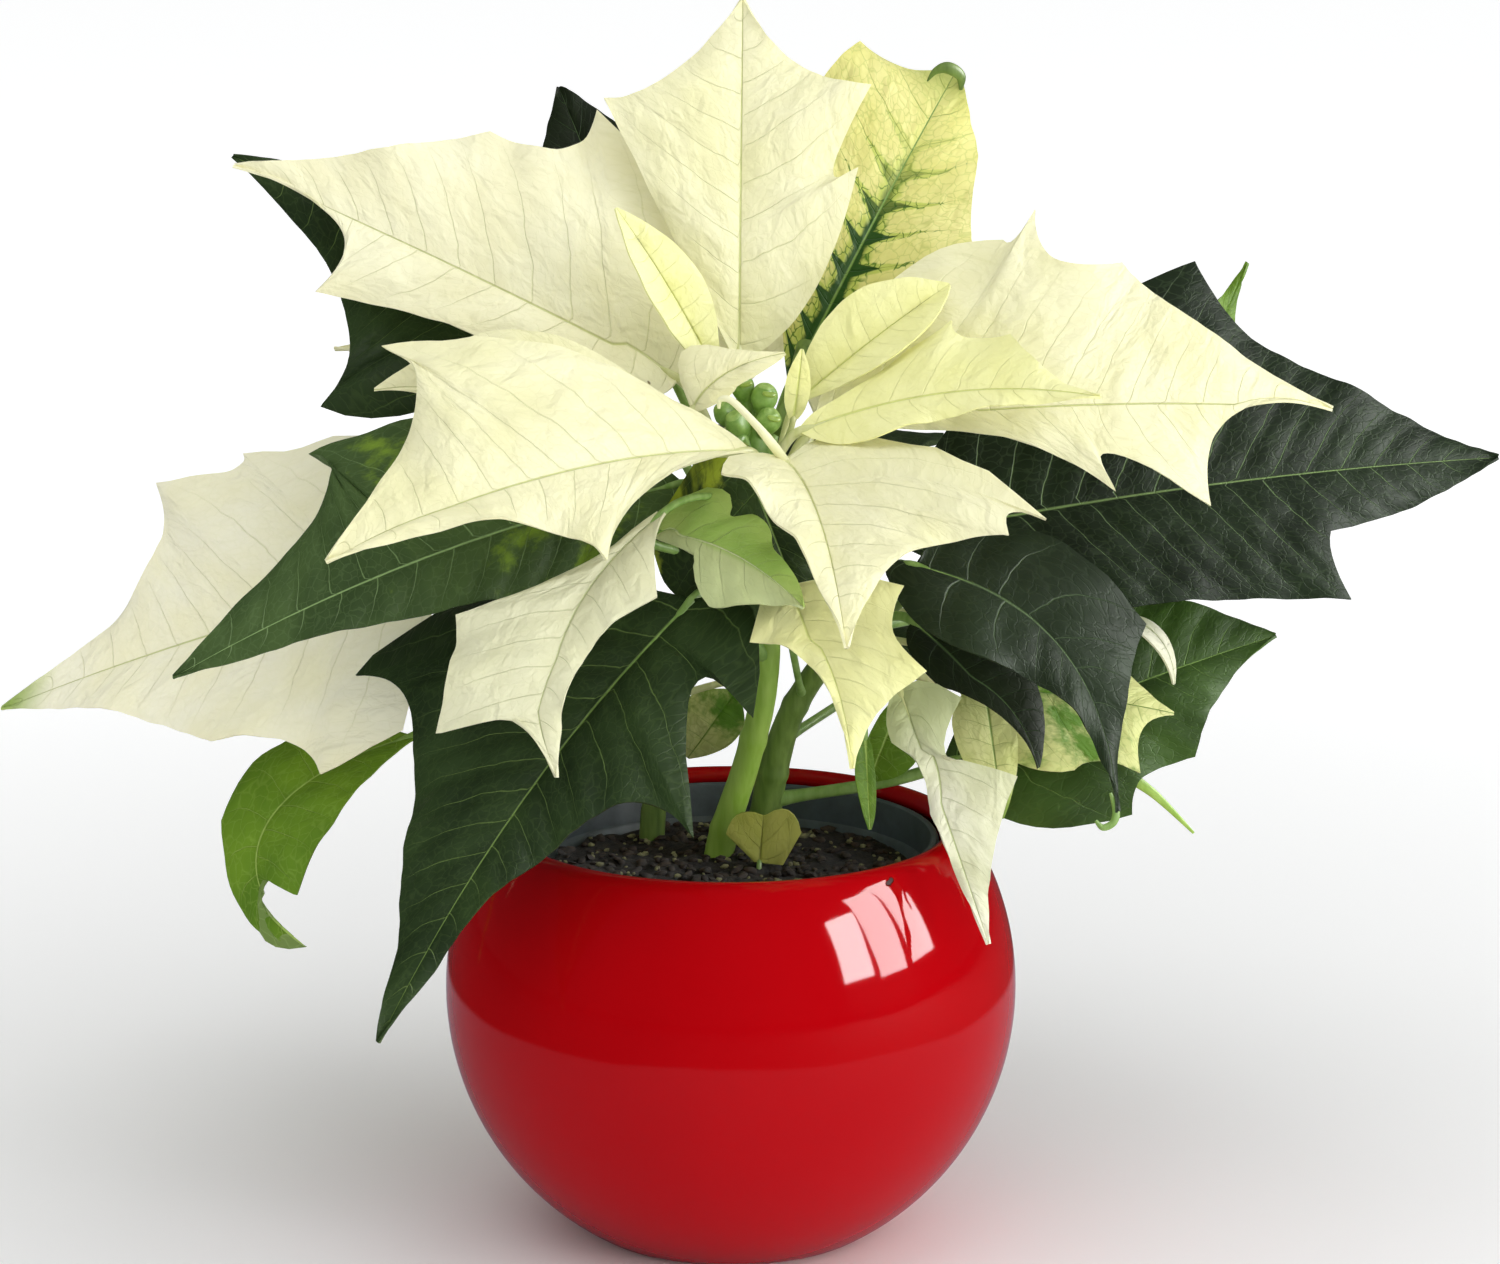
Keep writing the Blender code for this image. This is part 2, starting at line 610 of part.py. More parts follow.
leaf("bract_hanging", BRACT_CREAM, "side", 143, (40, -20, 140), (60, -54, 87), (0, -0.9, 0.4),
     [(1, 7), (8, 13), (22, 5), (31, 19), (48, 7)], [(6, 5), (13, 6), (22, 2), (33, 3), (48, 2)],
     arch=4, ruffle=0.8)
leaf("bract_lime", BRACT_LIME, "side", 145, (56, 8, 134), (108, 4, 128), (0, -0.8, 0.6),
     [(22, 16), (35, 14), (43, 6)], [(14, 18), (30, 19), (36, 16), (46, 17), (45, 6)], arch=3)
leaf("bract_lime_slim", BRACT_LIME, "side", 148, (61, -6, 138), (65, -20, 108), (0, -0.9, 0.4),
     [(15, 6)], [(11, 9)], arch=2, petiole=1.0, columns=1)
leaf("leaf_sliver", LEAF_BRIGHT, "side", 138, (32, -24, 129), (33, -30, 108), (0.3, -0.9, 0.2),
     [(13, 2)], [(9, 3)], petiole=0.8, columns=1)
leaf("bract_hook", BRACT_LIME, "side", 153, (97, 10, 151), (108, 6, 135), (0.6, -0.5, 0.5),
     [(7, 3)], [(7, 4)], arch=4, petiole=0.9, columns=1)

# Leaves of the left shoot
leaf("bract_far_left", BRACT_CREAM, "left", 156, (-72, 26, 159), (-183, 34, 122), (0, -0.75, 0.65),
     [(7, 20), (16, 41), (27, 44), (38, 46), (45, 35), (64, 29), (90, 11)],
     [(3, 34), (20, 46), (31, 46), (44, 49), (48, 44), (67, 47), (77, 19)],
     arch=4, ruffle=1.5, columns=3)
leaf("leaf_low_left", LEAF_BRIGHT, "left", 138, (-79, 22, 118), (-104, -6, 72), (-0.5, -0.8, 0.3),
     [(22, -3), (49, -6), (46, -15), (53, -17), (61, -12)], [(10, 28), (38, 35), (57, 20)],
     arch=8, rib=(38, 22), lift=(0, 0, -0.6))
leaf("bract_mottled", BRACT_LIME, "left", 124, (1, 36, 126), (-11, 40, 108), (0, -0.9, 0.3),
     [(9, 7)], [(9, 9)], arch=2, petiole=1.0, columns=1)
leaf("leaf_small_right", LEAF_BRIGHT, "side", 137, (42, 12, 130), (34, 8, 110), (0, -0.9, 0.4),
     [(12, 9)], [(11, 4)], arch=2, petiole=1.0, columns=1)

# Leaves and bracts on the side that faces away
leaf("leaf_back_top", LEAF_GREEN, "main", 177, (-18, 40, 214), (-43, 62, 275), (0, -0.95, 0.3),
     [(22, 15), (40, 17), (56, 9)], [(22, 15), (44, 15), (60, 7)],
     arch=5, ruffle=1.0, lift=(0, 0.8, -0.4))
leaf("leaf_back_right", LEAF_GREEN, "side", 147, (98, 62, 162), (132, 78, 229), (0.2, -0.9, 0.3),
     [(22, 15), (38, 18), (60, 5)], [(22, 14), (40, 16), (60, 4)], arch=5, ruffle=1.0, petiole=1.5)
leaf("leaf_back_middle", LEAF_GREEN, "main", 139, (10, 50, 170), (20, 160, 160), (0, 0.1, 1),
     [(40, 34), (70, 42), (84, 18)], [(38, 34), (66, 40), (82, 18)], arch=14, ruffle=1.5, columns=3)
leaf("leaf_back_left", LEAF_GREEN, "left", 146, (-70, 60, 168), (-140, 130, 140), (-0.1, 0.1, 1),
     [(34, 28), (60, 36), (74, 14)], [(32, 28), (56, 34), (72, 14)], arch=10, ruffle=1.2)
leaf("leaf_back_low", LEAF_GREEN, "side", 118, (40, 50, 128), (90, 130, 110), (0.1, 0.2, 1),
     [(32, 24), (54, 30), (68, 12)], [(30, 24), (52, 28), (66, 12)], arch=10, ruffle=1.2)
leaf("bract_back_middle", BRACT_CREAM, "main", 169, (4, 32, 206), (2, 112, 240), (0, -0.4, 0.9),
     [(30, 24), (54, 28), (62, 12)], [(28, 24), (48, 28), (60, 12)], arch=8, ruffle=1.2, lift=(0, 0.6, 0))
leaf("bract_back_left", BRACT_CREAM, "main", 162, (-12, 36, 194), (-101, 68, 208), (-0.1, -0.2, 1),
     [(30, 14), (54, 17), (66, 6)], [(30, 20), (54, 24), (66, 10)], arch=6, ruffle=1.2)
leaf("bract_back_right", BRACT_CREAM, "main", 164, (22, 30, 196), (62, 112, 214), (0.1, -0.2, 1),
     [(30, 24), (56, 28), (66, 12)], [(30, 22), (54, 28), (66, 12)], arch=8, ruffle=1.2)


# A small dry leaf whose stalk stands in the peat
FALLEN_FOOT = (7, -3, 84)
leaf("leaf_fallen", LEAF_DRY, "soil", 0, (7, -3, 92.6), (8, -2, 104), (0, -1, 0.2),
     [(4, 8), (9, 8), (13, 4)], [(4, 9), (15, 6), (10, 2)], arch=-1, petiole=0.7)


# Cyathia: small green cups bunched on the top of the main stem, each with its middle and radius
BUD_STRETCH = 1.35
CYATHIA = (
    ((8, -5, 207), 3.2), ((2, -7, 201), 3.2), ((9, -8, 202), 3.0), ((-1, -4, 203), 2.8),
    ((3, -2, 209), 2.8), ((5, 1, 203), 2.8),
)


def make_cyathia():
    heart = STEMS["main"][0][-1] + Vector((0, 0, 2.6))
    buds = bpy.data.collections.new("buds")
    cutters.children.link(buds)
    rising = [heart, heart + Vector((0, 0, 4)), heart + Vector((0, -2, 10))]
    made = tube_object("cyathia", rising, (3.2, 3.6, 2.0), CYATHIUM_GREEN, plant, STEM_RESOLUTION)
    parts = []
    for number, (centre, radius) in enumerate(CYATHIA):
        middle = Vector(centre)
        lean = (middle - heart).normalized()
        mesh = bpy.data.meshes.new("bud")
        bm = bmesh.new()
        bmesh.ops.create_uvsphere(bm, u_segments=7, v_segments=5, radius=radius * MM)
        bmesh.ops.scale(bm, vec=(1.0, 1.0, BUD_STRETCH), verts=bm.verts)
        turn = Vector((0, 0, 1)).rotation_difference(lean).to_matrix()
        bmesh.ops.rotate(bm, verts=bm.verts, cent=(0, 0, 0), matrix=turn)
        bmesh.ops.translate(bm, verts=bm.verts, vec=middle * MM)
        bm.to_mesh(mesh)
        bm.free()
        bud = bpy.data.objects.new(f"bud_{number}", mesh)
        reach = [heart + Vector((0, 0, 3)), middle]
        name = f"bud_stalk_{number}"
        stalk = tube_object(name, reach, (1.4, 1.2), CYATHIUM_GREEN, cutters, STALK_RESOLUTION)
        cutters.objects.unlink(stalk)
        for part in (bud, stalk):
            buds.objects.link(part)
            parts.append(part)
    join = made.modifiers.new("Join", "BOOLEAN")
    join.operation = "UNION"
    join.operand_type = "COLLECTION"
    join.collection = buds
    whole = applied_mesh(made)
    made.modifiers.clear()
    made.data = whole
    for part in parts:
        bpy.data.objects.remove(part)
    bpy.data.collections.remove(buds)
    return made


make_pot()
make_nursery_pot()
soil = make_soil()
clearances = {name: make_stem(name) for name in list(STEMS)}
for cutter in clearances.values():
    add_boolean(soil, "DIFFERENCE", cutter)
fallen_path = [Vector(FALLEN_FOOT) + Vector((0, 0, height)) for height in (-1, 9)]
fallen_hole = tube_object(
    "clearance_fallen", fallen_path, (FALLEN_HOLE, FALLEN_HOLE), PEAT, cutters, STEM_RESOLUTION
)
add_boolean(soil, "DIFFERENCE", fallen_hole)
for entry in LEAVES:
    make_leaf(*entry, clearances)
make_cyathia()
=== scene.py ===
# %% [markdown]
# # A poinsettia in a round red pot
#
# The plant is a small potted poinsettia with cream bracts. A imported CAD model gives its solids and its
# sizes, and this lesson dresses them: every leaf gets its veins, quilting and stalk, the pots get their
# glaze and plastic, and the peat gets its grains. Everything is in metres, +Z is up, and -Y is the side
# that the photograph shows. Lengths are written in millimetres, as a grower or potter would give them.
# %% Load the CAD frame
import math
import random

import bmesh
import bpy
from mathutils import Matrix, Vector, noise


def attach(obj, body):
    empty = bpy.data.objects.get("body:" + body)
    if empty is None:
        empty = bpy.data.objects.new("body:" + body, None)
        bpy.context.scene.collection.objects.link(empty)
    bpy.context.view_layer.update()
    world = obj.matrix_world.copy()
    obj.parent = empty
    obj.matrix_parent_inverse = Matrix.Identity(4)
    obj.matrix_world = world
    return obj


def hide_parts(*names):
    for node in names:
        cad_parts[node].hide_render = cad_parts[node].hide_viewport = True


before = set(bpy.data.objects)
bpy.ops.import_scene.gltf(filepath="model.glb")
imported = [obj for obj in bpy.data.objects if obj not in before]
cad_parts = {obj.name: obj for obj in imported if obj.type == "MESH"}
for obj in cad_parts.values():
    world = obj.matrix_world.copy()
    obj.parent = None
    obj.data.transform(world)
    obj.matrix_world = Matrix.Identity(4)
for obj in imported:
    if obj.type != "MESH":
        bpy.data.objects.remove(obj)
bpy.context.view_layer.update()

# %% [markdown]
# ## Small helpers
#
# Colours are read off as sRGB hex values, because that is how a paint or leaf colour is usually noted.
# Blender's shaders want linear values, so one function turns them. Another adds a node with its settings
# and links. Others turn a bmesh into a mesh or an object and back. The last takes a finished bmesh, marks
# its sharp edges, gives it its finishes and hands it to the frame, so that each piece ends up at the
# origin with its place in its mesh.
# %% Colour and node helpers
MM = 0.001
WELD = 0.00002
UP = Vector((0.0, 0.0, 1.0))
SMOOTH = {"interpolation_type": "SMOOTHSTEP"}


def colour(code):
    """Linear colour of an sRGB hex value such as #a7050d."""
    shares = [int(code[i : i + 2], 16) / 255.0 for i in (1, 3, 5)]
    linear = [v / 12.92 if v <= 0.04045 else ((v + 0.055) / 1.055) ** 2.4 for v in shares]
    return (*linear, 1.0)


def set_inputs(tree, node, inputs):
    """Link or set inputs by name or number. A node given for one stands for its first output in use."""
    for socket, value in inputs.items():
        if isinstance(value, bpy.types.Node):
            value = next(output for output in value.outputs if output.enabled)
        if isinstance(value, bpy.types.NodeSocket):
            tree.links.new(value, node.inputs[socket])
        else:
            node.inputs[socket].default_value = value


def add_node(tree, kind, inputs=None, **settings):
    """Add a shader node with its settings, and link or set its inputs."""
    made = tree.nodes.new(kind if kind == "NodeGroupOutput" else "ShaderNode" + kind)
    for name, value in settings.items():
        setattr(made, name, value)
    set_inputs(tree, made, inputs or {})
    return made


def new_finish(name, **sockets):
    """A Principled finish with its constant values set straight on the shader."""
    made = bpy.data.materials.new(name)
    made.use_nodes = True
    shader = made.node_tree.nodes["Principled BSDF"]
    for socket, value in sockets.items():
        shader.inputs[socket.replace("_", " ")].default_value = value
    return made, made.node_tree, shader


# %% Mesh and piece helpers
def new_mesh(name, bm):
    """Write a bmesh to a new mesh and free it."""
    mesh = bpy.data.meshes.new(name)
    bm.to_mesh(mesh)
    bm.free()
    return mesh


def new_object(name, data):
    made = bpy.data.objects.new(name, data)
    bpy.context.scene.collection.objects.link(made)
    return made


def applied(source):
    """A bmesh of an object as its curve settings and modifiers make it. The object is removed."""
    bpy.context.view_layer.update()
    graph = bpy.context.evaluated_depsgraph_get()
    bm = bmesh.new()
    bm.from_mesh(bpy.data.meshes.new_from_object(source.evaluated_get(graph)))
    bpy.data.objects.remove(source)
    return bm


def place_verts(bm, verts, turn, place):
    """Turn some vertices about the origin and move them to a place in millimetres."""
    bmesh.ops.rotate(bm, verts=verts, cent=(0, 0, 0), matrix=turn.to_matrix())
    bmesh.ops.translate(bm, verts=verts, vec=place * MM)


def add_piece(name, bm, finishes, stands_for, crease=50.0):
    """Turn a finished bmesh into a piece that rides on the frame and stands for CAD nodes."""
    for face in bm.faces:
        face.smooth = True
    for edge in bm.edges:
        edge.smooth = edge.calc_face_angle(0.0) < math.radians(crease)
    piece = new_object(name, new_mesh(name, bm))
    for finish in finishes:
        piece.data.materials.append(finish)
    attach(piece, "root")
    if stands_for:
        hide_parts(*stands_for)
    return piece


# %% [markdown]
# ## Finishes of the pots and the peat
#
# The red pot is earthenware under a clear, strongly coloured glaze. Fired glaze is glass with almost no
# roughness. Its IOR is typically near 1.5; 1.33 matches how weakly this one mirrors the room. It shows the
# faint orange-peel waves of a dipped surface, and one small chip at the lip shows the dark body. The
# nursery pot is moulded polypropylene: dull, slightly mottled. Peat is nearly black and rough, with brown
# fibres a few millimetres long.
# %% Glaze
CHIP = (36.9 * MM, -44.5 * MM, 99.0 * MM)


def make_red_glaze():
    made, tree, shader = new_finish("red_glazed_earthenware", Roughness=0.05, IOR=1.33)
    place = add_node(tree, "TexCoord").outputs["Object"]
    cloud = add_node(tree, "TexNoise", {"Vector": place, "Scale": 30.0, "Detail": 3.0})
    tone = add_node(tree, "Mix", {0: cloud, 6: colour("#a90008"), 7: colour("#b1030b")}, data_type="RGBA")
    oval = {"Vector": place, "Location": CHIP, "Rotation": (0.0, 0.9, 0.0), "Scale": (0.45, 1.0, 1.0)}
    nick = add_node(tree, "Mapping", oval, vector_type="TEXTURE")
    reach = add_node(tree, "VectorMath", {0: nick}, operation="LENGTH")
    ragged = add_node(tree, "TexNoise", {"Vector": place, "Scale": 900.0, "Detail": 2.0})
    edge = add_node(tree, "Math", {0: ragged, 1: 0.0016, 2: reach}, operation="MULTIPLY_ADD")
    chip = add_node(tree, "MapRange", {0: edge, 1: 0.0021, 2: 0.0026, 3: 1.0, 4: 0.0})
    body = add_node(tree, "Mix", {0: chip, 6: tone, 7: colour("#3c0f0a")}, data_type="RGBA")
    rough = add_node(tree, "MapRange", {0: chip, 1: 0.0, 2: 1.0, 3: 0.05, 4: 0.6})
    peel = add_node(tree, "TexNoise", {"Vector": place, "Scale": 55.0, "Detail": 1.0})
    wave = add_node(tree, "Bump", {"Strength": 0.25, "Distance": 0.0006, "Height": peel})
    dent = {"Strength": 0.9, "Distance": 0.0008, "Height": chip, "Normal": wave}
    relief = add_node(tree, "Bump", dent, invert=True)
    set_inputs(tree, shader, {"Base Color": body, "Roughness": rough, "Normal": relief})
    return made


# %% Plastic, clay and peat
def make_speckled(name, dark, light, size, roughness, depth):
    """A finish whose colour wanders between two tones. Its size and depth are in millimetres."""
    made, tree, shader = new_finish(name, Roughness=roughness)
    place = add_node(tree, "TexCoord").outputs["Object"]
    spots = {"Vector": place, "Scale": 1.0 / (size * MM), "Detail": 5.0, "Roughness": 0.65}
    cloud = add_node(tree, "TexNoise", spots)
    share = add_node(tree, "MapRange", {0: cloud, 1: 0.35, 2: 0.68})
    tone = add_node(tree, "Mix", {0: share, 6: colour(dark), 7: colour(light)}, data_type="RGBA")
    bump = add_node(tree, "Bump", {"Strength": 0.8, "Distance": depth * MM, "Height": cloud})
    set_inputs(tree, shader, {"Base Color": tone, "Normal": bump})
    return made


RED_GLAZE = make_red_glaze()
BARE_CLAY = make_speckled("unglazed_foot_clay", "#b9a48c", "#cdbba4", 1.5, 0.85, 0.15)
GREY_PLASTIC = make_speckled("moulded_grey_polypropylene", "#4b565b", "#58646b", 6.0, 0.5, 0.05)
PEAT = make_speckled("moist_peat", "#0f0c0a", "#33281d", 1.6, 0.95, 1.2)
BARK = make_speckled("composted_bark", "#1d150f", "#4a3826", 2.5, 0.9, 0.4)
PERLITE = make_speckled("algae_stained_perlite", "#5b5834", "#a6a274", 2.0, 0.9, 0.3)
print("pot and peat finishes:", len(bpy.data.materials))

# %% [markdown]
# ## The red pot
#
# A ball pot is thrown or cast round and turned at the foot, so its profile spun about the axis makes it.
# The profile runs from the middle of the inner floor, up the inner wall, over the rounded lip and down the
# outer wall to the foot. The photograph's lip is soft, about 3 mm in radius. The foot is wiped clean of
# glaze before firing, so its flat ring shows bare clay.
# %% Spin a profile
def smooth_point(points, share):
    """Point on a smooth curve through the listed points or numbers, share running from 0 to 1."""
    spans = len(points) - 1
    place = min(max(share, 0.0), 1.0) * spans
    number = min(int(place), spans - 1)
    t = place - number
    before = points[max(number - 1, 0)]
    start, end = points[number], points[number + 1]
    after = points[min(number + 2, spans)]
    return 0.5 * (
        2.0 * start
        + (end - before) * t
        + (2.0 * before - 5.0 * start + 4.0 * end - after) * t**2
        + (3.0 * start - before - 3.0 * end + after) * t**3
    )


def arc(radius, centre_height, start, end, count):
    """Points (radius, height) on a circle about the axis, from one height angle to another."""
    angles = [start + (end - start) * i / (count - 1) for i in range(count)]
    return [(radius * math.cos(a), centre_height + radius * math.sin(a)) for a in angles]


def spun(profile, sides):
    """A closed solid spun from a profile of (radius, height) in millimetres."""
    bm = bmesh.new()
    points = [bm.verts.new((radius * MM, 0.0, height * MM)) for radius, height in profile]
    edges = [bm.edges.new(pair) for pair in zip(points, points[1:])]
    bmesh.ops.spin(
        bm, geom=points + edges, axis=UP, cent=(0, 0, 0), angle=math.tau, steps=sides, use_merge=True
    )
    bmesh.ops.remove_doubles(bm, verts=bm.verts, dist=WELD)
    bmesh.ops.recalc_face_normals(bm, faces=bm.faces)
    return bm


# %% Red pot
BALL_RADIUS = 70.0
BALL_CENTRE = 61.0
BALL_INNER_RADIUS = 64.5
LIP_HEIGHT = 102.0
LIP_RADIUS = 54.5
INNER_LIP_DROP = 6.0
OUTER_LIP_DROP = 4.6
POT_FLOOR = 6.0
FOOT_RISE = 1.2


def make_red_pot():
    inner_low = math.asin((POT_FLOOR - BALL_CENTRE) / BALL_INNER_RADIUS)
    inner_high = math.asin((LIP_HEIGHT - INNER_LIP_DROP - BALL_CENTRE) / BALL_INNER_RADIUS)
    outer_high = math.asin((LIP_HEIGHT - OUTER_LIP_DROP - BALL_CENTRE) / BALL_RADIUS)
    outer_low = math.asin(-(BALL_CENTRE - FOOT_RISE) / BALL_RADIUS)
    inner = arc(BALL_INNER_RADIUS, BALL_CENTRE, inner_low, inner_high, 24)
    outer = arc(BALL_RADIUS, BALL_CENTRE, outer_high, outer_low, 56)
    over = ((-2.7, -3.2), (-2.2, -1.2), (0.0, 0.0), (2.8, -1.3))
    lip = [Vector((LIP_RADIUS + out, LIP_HEIGHT + rise)) for out, rise in over]
    lip = [Vector(inner[-1]), *lip, Vector(outer[0])]
    rounded = [smooth_point(lip, i / 20.0).to_tuple() for i in range(1, 20)]
    foot = math.sqrt(BALL_RADIUS**2 - BALL_CENTRE**2)
    base = [(foot - 0.6, 0.3), (foot - 1.4, 0.0), (foot - 7.0, 0.0), (foot - 8.0, 0.8), (0.0, 0.8)]
    bm = spun([(0.0, POT_FLOOR)] + inner + rounded + outer + base, 128)
    for face in bm.faces:
        if face.calc_center_median().z < 0.6 * MM and face.normal.z < -0.5:
            face.material_index = 1
    return add_piece("red_pot", bm, [RED_GLAZE, BARE_CLAY], ["pot"])


print("red pot faces:", len(make_red_pot().data.polygons))

# %% [markdown]
# ## The nursery pot
#
# The plant is sold in a thin moulded pot. It tapers so that pots stack, has a rolled rim for stiffness,
# and drains through holes in its floor. It is spun as well. Its rolled rim is a small rounded hook in the
# profile, and the step below the rim is where the stack of pots rests.
# %% Nursery pot
RIM = 99.0
FOOT = 6.3
DRAIN_RADIUS = 4.0
DRAIN_RING = 20.0
DRAIN_COUNT = 4


def make_nursery_pot():
    inside = [(0.0, FOOT + 1.0), (31.4, FOOT + 1.0), (31.9, FOOT + 1.6)]
    up_and_over = (
        (47.6, -9.0), (48.2, -8.4), (48.6, -1.2), (48.9, -0.4), (49.6, 0.0), (50.3, -0.1), (50.8, -0.8),
        (50.8, -3.4), (50.4, -3.5), (49.9, -3.2), (49.1, -8.0), (48.7, -9.4),
    )
    outside = [(32.8, FOOT + 0.4), (32.4, FOOT), (0.0, FOOT)]
    bm = spun(inside + [(radius, RIM + drop) for radius, drop in up_and_over] + outside, 96)
    body = new_object("nursery_body", new_mesh("nursery_body", bm))
    holes = []
    for number in range(DRAIN_COUNT):
        turn = math.tau * (number + 0.5) / DRAIN_COUNT
        drill = bmesh.new()
        wide = DRAIN_RADIUS * MM
        bmesh.ops.create_cone(drill, cap_ends=True, segments=32, radius1=wide, radius2=wide, depth=wide)
        place = Vector((math.cos(turn) * DRAIN_RING, math.sin(turn) * DRAIN_RING, FOOT + 0.5))
        bmesh.ops.translate(drill, verts=drill.verts, vec=place * MM)
        cut = body.modifiers.new("Drain", "BOOLEAN")
        cut.operation = "DIFFERENCE"
        cut.object = new_object(f"drain_{number}", new_mesh("drain", drill))
        holes.append(cut.object)
    bm = applied(body)
    for hole in holes:
        bpy.data.objects.remove(hole)
    return add_piece("nursery_pot_shell", bm, [GREY_PLASTIC], ["nursery_pot"], 35.0)


print("nursery pot faces:", len(make_nursery_pot().data.polygons))

# %% [markdown]
# ## The peat and its grains
#
# Potting peat settles into a rough crust. The plug is spun with many rings on top, and noise lifts them
# into lumps of a few millimetres. Grains of bark and of perlite, which algae have stained olive, are
# scattered over it: each is a small ball pulled out of shape, sunk half way into the crust.
# %% Peat plug
SOIL_HEIGHT = 89.9
SOIL_RADIUS = 45.0


def crust_height(x, y):
    """Height of the peat's crust at a place, in millimetres: coarse, middling and fine lumps on a dome."""
    spot = Vector((x, y, 0.0))
    lumps = 1.3 * noise.noise(spot / 11.0) + 0.9 * noise.noise(spot / 4.0 + Vector((7, 0, 0)))
    fine = 0.5 * noise.noise(spot / 1.7 + Vector((0, 5, 0)))
    return SOIL_HEIGHT + lumps + fine + 0.8 * (1.0 - math.hypot(x, y) / SOIL_RADIUS)


def make_peat():
    profile = [(0.0, 7.6), (31.4, 7.6), (46.1, SOIL_HEIGHT - 1.5)]
    profile += [(44.5 - i * 1.15, SOIL_HEIGHT) for i in range(38)] + [(0.0, SOIL_HEIGHT)]
    bm = spun(profile, 120)
    for vert in bm.verts:
        x, y, z = vert.co / MM
        if z > SOIL_HEIGHT - 1.0:
            vert.co.z = crust_height(x, y) * MM
    return add_piece("peat_crust", bm, [PEAT], ["soil"], 80.0)


print("peat faces:", len(make_peat().data.polygons))


# %% Grains on the peat
def make_grains(name, finish, count, sizes, seed, flatness):
    """Many small rough grains, joined in one mesh, lying half sunk in the crust."""
    dice = random.Random(seed)
    bm = bmesh.new()
    for _ in range(count):
        turn = dice.uniform(0.0, math.tau)
        ring = (SOIL_RADIUS - 1.0) * math.sqrt(dice.random())
        x, y = ring * math.cos(turn), ring * math.sin(turn)
        size = dice.uniform(*sizes)
        grain = bmesh.ops.create_icosphere(bm, subdivisions=1, radius=size * MM)["verts"]
        for vert in grain:
            vert.co *= 1.0 + 0.35 * noise.noise(vert.co / (size * MM) + Vector((x, y, 0.0)))
        bmesh.ops.scale(bm, vec=(dice.uniform(1.0, 1.9), 1.0, flatness), verts=grain)
        tilt = Vector((dice.uniform(-0.5, 0.5), dice.uniform(-0.5, 0.5), 1.0)).normalized()
        bmesh.ops.rotate(bm, verts=grain, cent=(0, 0, 0), matrix=UP.rotation_difference(tilt).to_matrix())
        heading = Vector((math.cos(turn * 7.0), math.sin(turn * 7.0), 0.0))
        lift = crust_height(x, y) + size * flatness * 0.35
        around = Vector((1.0, 0.0, 0.0)).rotation_difference(heading)
        place_verts(bm, grain, around, Vector((x, y, lift)))
    print(name, count)
    return add_piece(name, bm, [finish], [], 60.0)


make_grains("bark_grains", BARK, 520, (0.5, 1.5), 3, 0.6)
make_grains("perlite_grains", PERLITE, 210, (0.3, 0.95), 5, 0.8)

# %% [markdown]
# ## Finishes of the plant
#
# A poinsettia's veins are pinnate: a midrib, curved side veins that end in the lobes, and a fine net
# between them. Every blade below carries two attributes that tell the shader where it is on the leaf.
# One holds millimetres along and across the blade, the other the share from foot to tip, the share from
# rib to margin, and a count that reaches a whole number on every side vein. A node group turns them into
# masks, so that the same veins can be pale on a dark leaf, green on a cream bract, or only a faint line.
# %% The vein masks
def make_vein_group():
    tree = bpy.data.node_groups.new("leaf_veins", "ShaderNodeTree")
    blade = add_node(tree, "Attribute", attribute_name="blade").outputs["Vector"]
    place = add_node(tree, "Attribute", attribute_name="place").outputs["Vector"]
    across = add_node(tree, "SeparateXYZ", {0: blade}).outputs[1]
    share, side_share, vein_count = add_node(tree, "SeparateXYZ", {0: place}).outputs
    reach = add_node(tree, "Math", {0: across}, operation="ABSOLUTE")
    out = add_node(tree, "Math", {0: side_share}, operation="ABSOLUTE")
    wobble = add_node(tree, "TexNoise", {"Vector": blade, "Scale": 0.12, "Detail": 2.0})
    count = add_node(tree, "Math", {0: wobble, 1: 0.25, 2: vein_count}, operation="MULTIPLY_ADD")
    near = add_node(tree, "Math", {0: count, 1: 0.5}, operation="PINGPONG")
    half_width = add_node(tree, "MapRange", {0: out, 1: 0.0, 2: 1.0, 3: 0.034, 4: 0.014})
    side = add_node(tree, "MapRange", {0: near, 1: 0.0, 2: half_width, 3: 1.0, 4: 0.0}, **SMOOTH)
    fade = add_node(tree, "MapRange", {0: out, 1: 0.55, 2: 0.97, 3: 1.0, 4: 0.15})
    side_fade = add_node(tree, "Math", {0: side, 1: fade}, operation="MULTIPLY")
    rib_width = add_node(tree, "MapRange", {0: share, 1: 0.0, 2: 1.0, 3: 0.75, 4: 0.2})
    rib = add_node(tree, "MapRange", {0: reach, 1: 0.1, 2: rib_width, 3: 1.0, 4: 0.0}, **SMOOTH)
    bend = add_node(tree, "TexNoise", {"Vector": blade, "Scale": 0.3, "Detail": 2.0}).outputs["Color"]
    bent_blade = add_node(
        tree, "VectorMath", {0: bend, 1: (3.0, 3.0, 0.0), 2: blade}, operation="MULTIPLY_ADD"
    )
    cells = add_node(
        tree, "TexVoronoi", {"Vector": bent_blade, "Scale": 0.42}, feature="DISTANCE_TO_EDGE"
    )
    net = add_node(tree, "MapRange", {0: cells, 1: 0.0, 2: 0.09, 3: 1.0, 4: 0.0}, **SMOOTH)
    cloud = add_node(tree, "TexNoise", {"Vector": blade, "Scale": 0.055, "Detail": 4.0})
    masks = {
        "Rib": rib, "Side vein": side_fade, "Near vein": near, "Net": net, "Reach": reach,
        "Share": share, "Out": side_share, "Cloud": cloud, "Blade": blade,
    }
    for name in masks:
        kind = "NodeSocketVector" if name == "Blade" else "NodeSocketFloat"
        tree.interface.new_socket(name=name, in_out="OUTPUT", socket_type=kind)
    add_node(tree, "NodeGroupOutput", masks)
    return tree


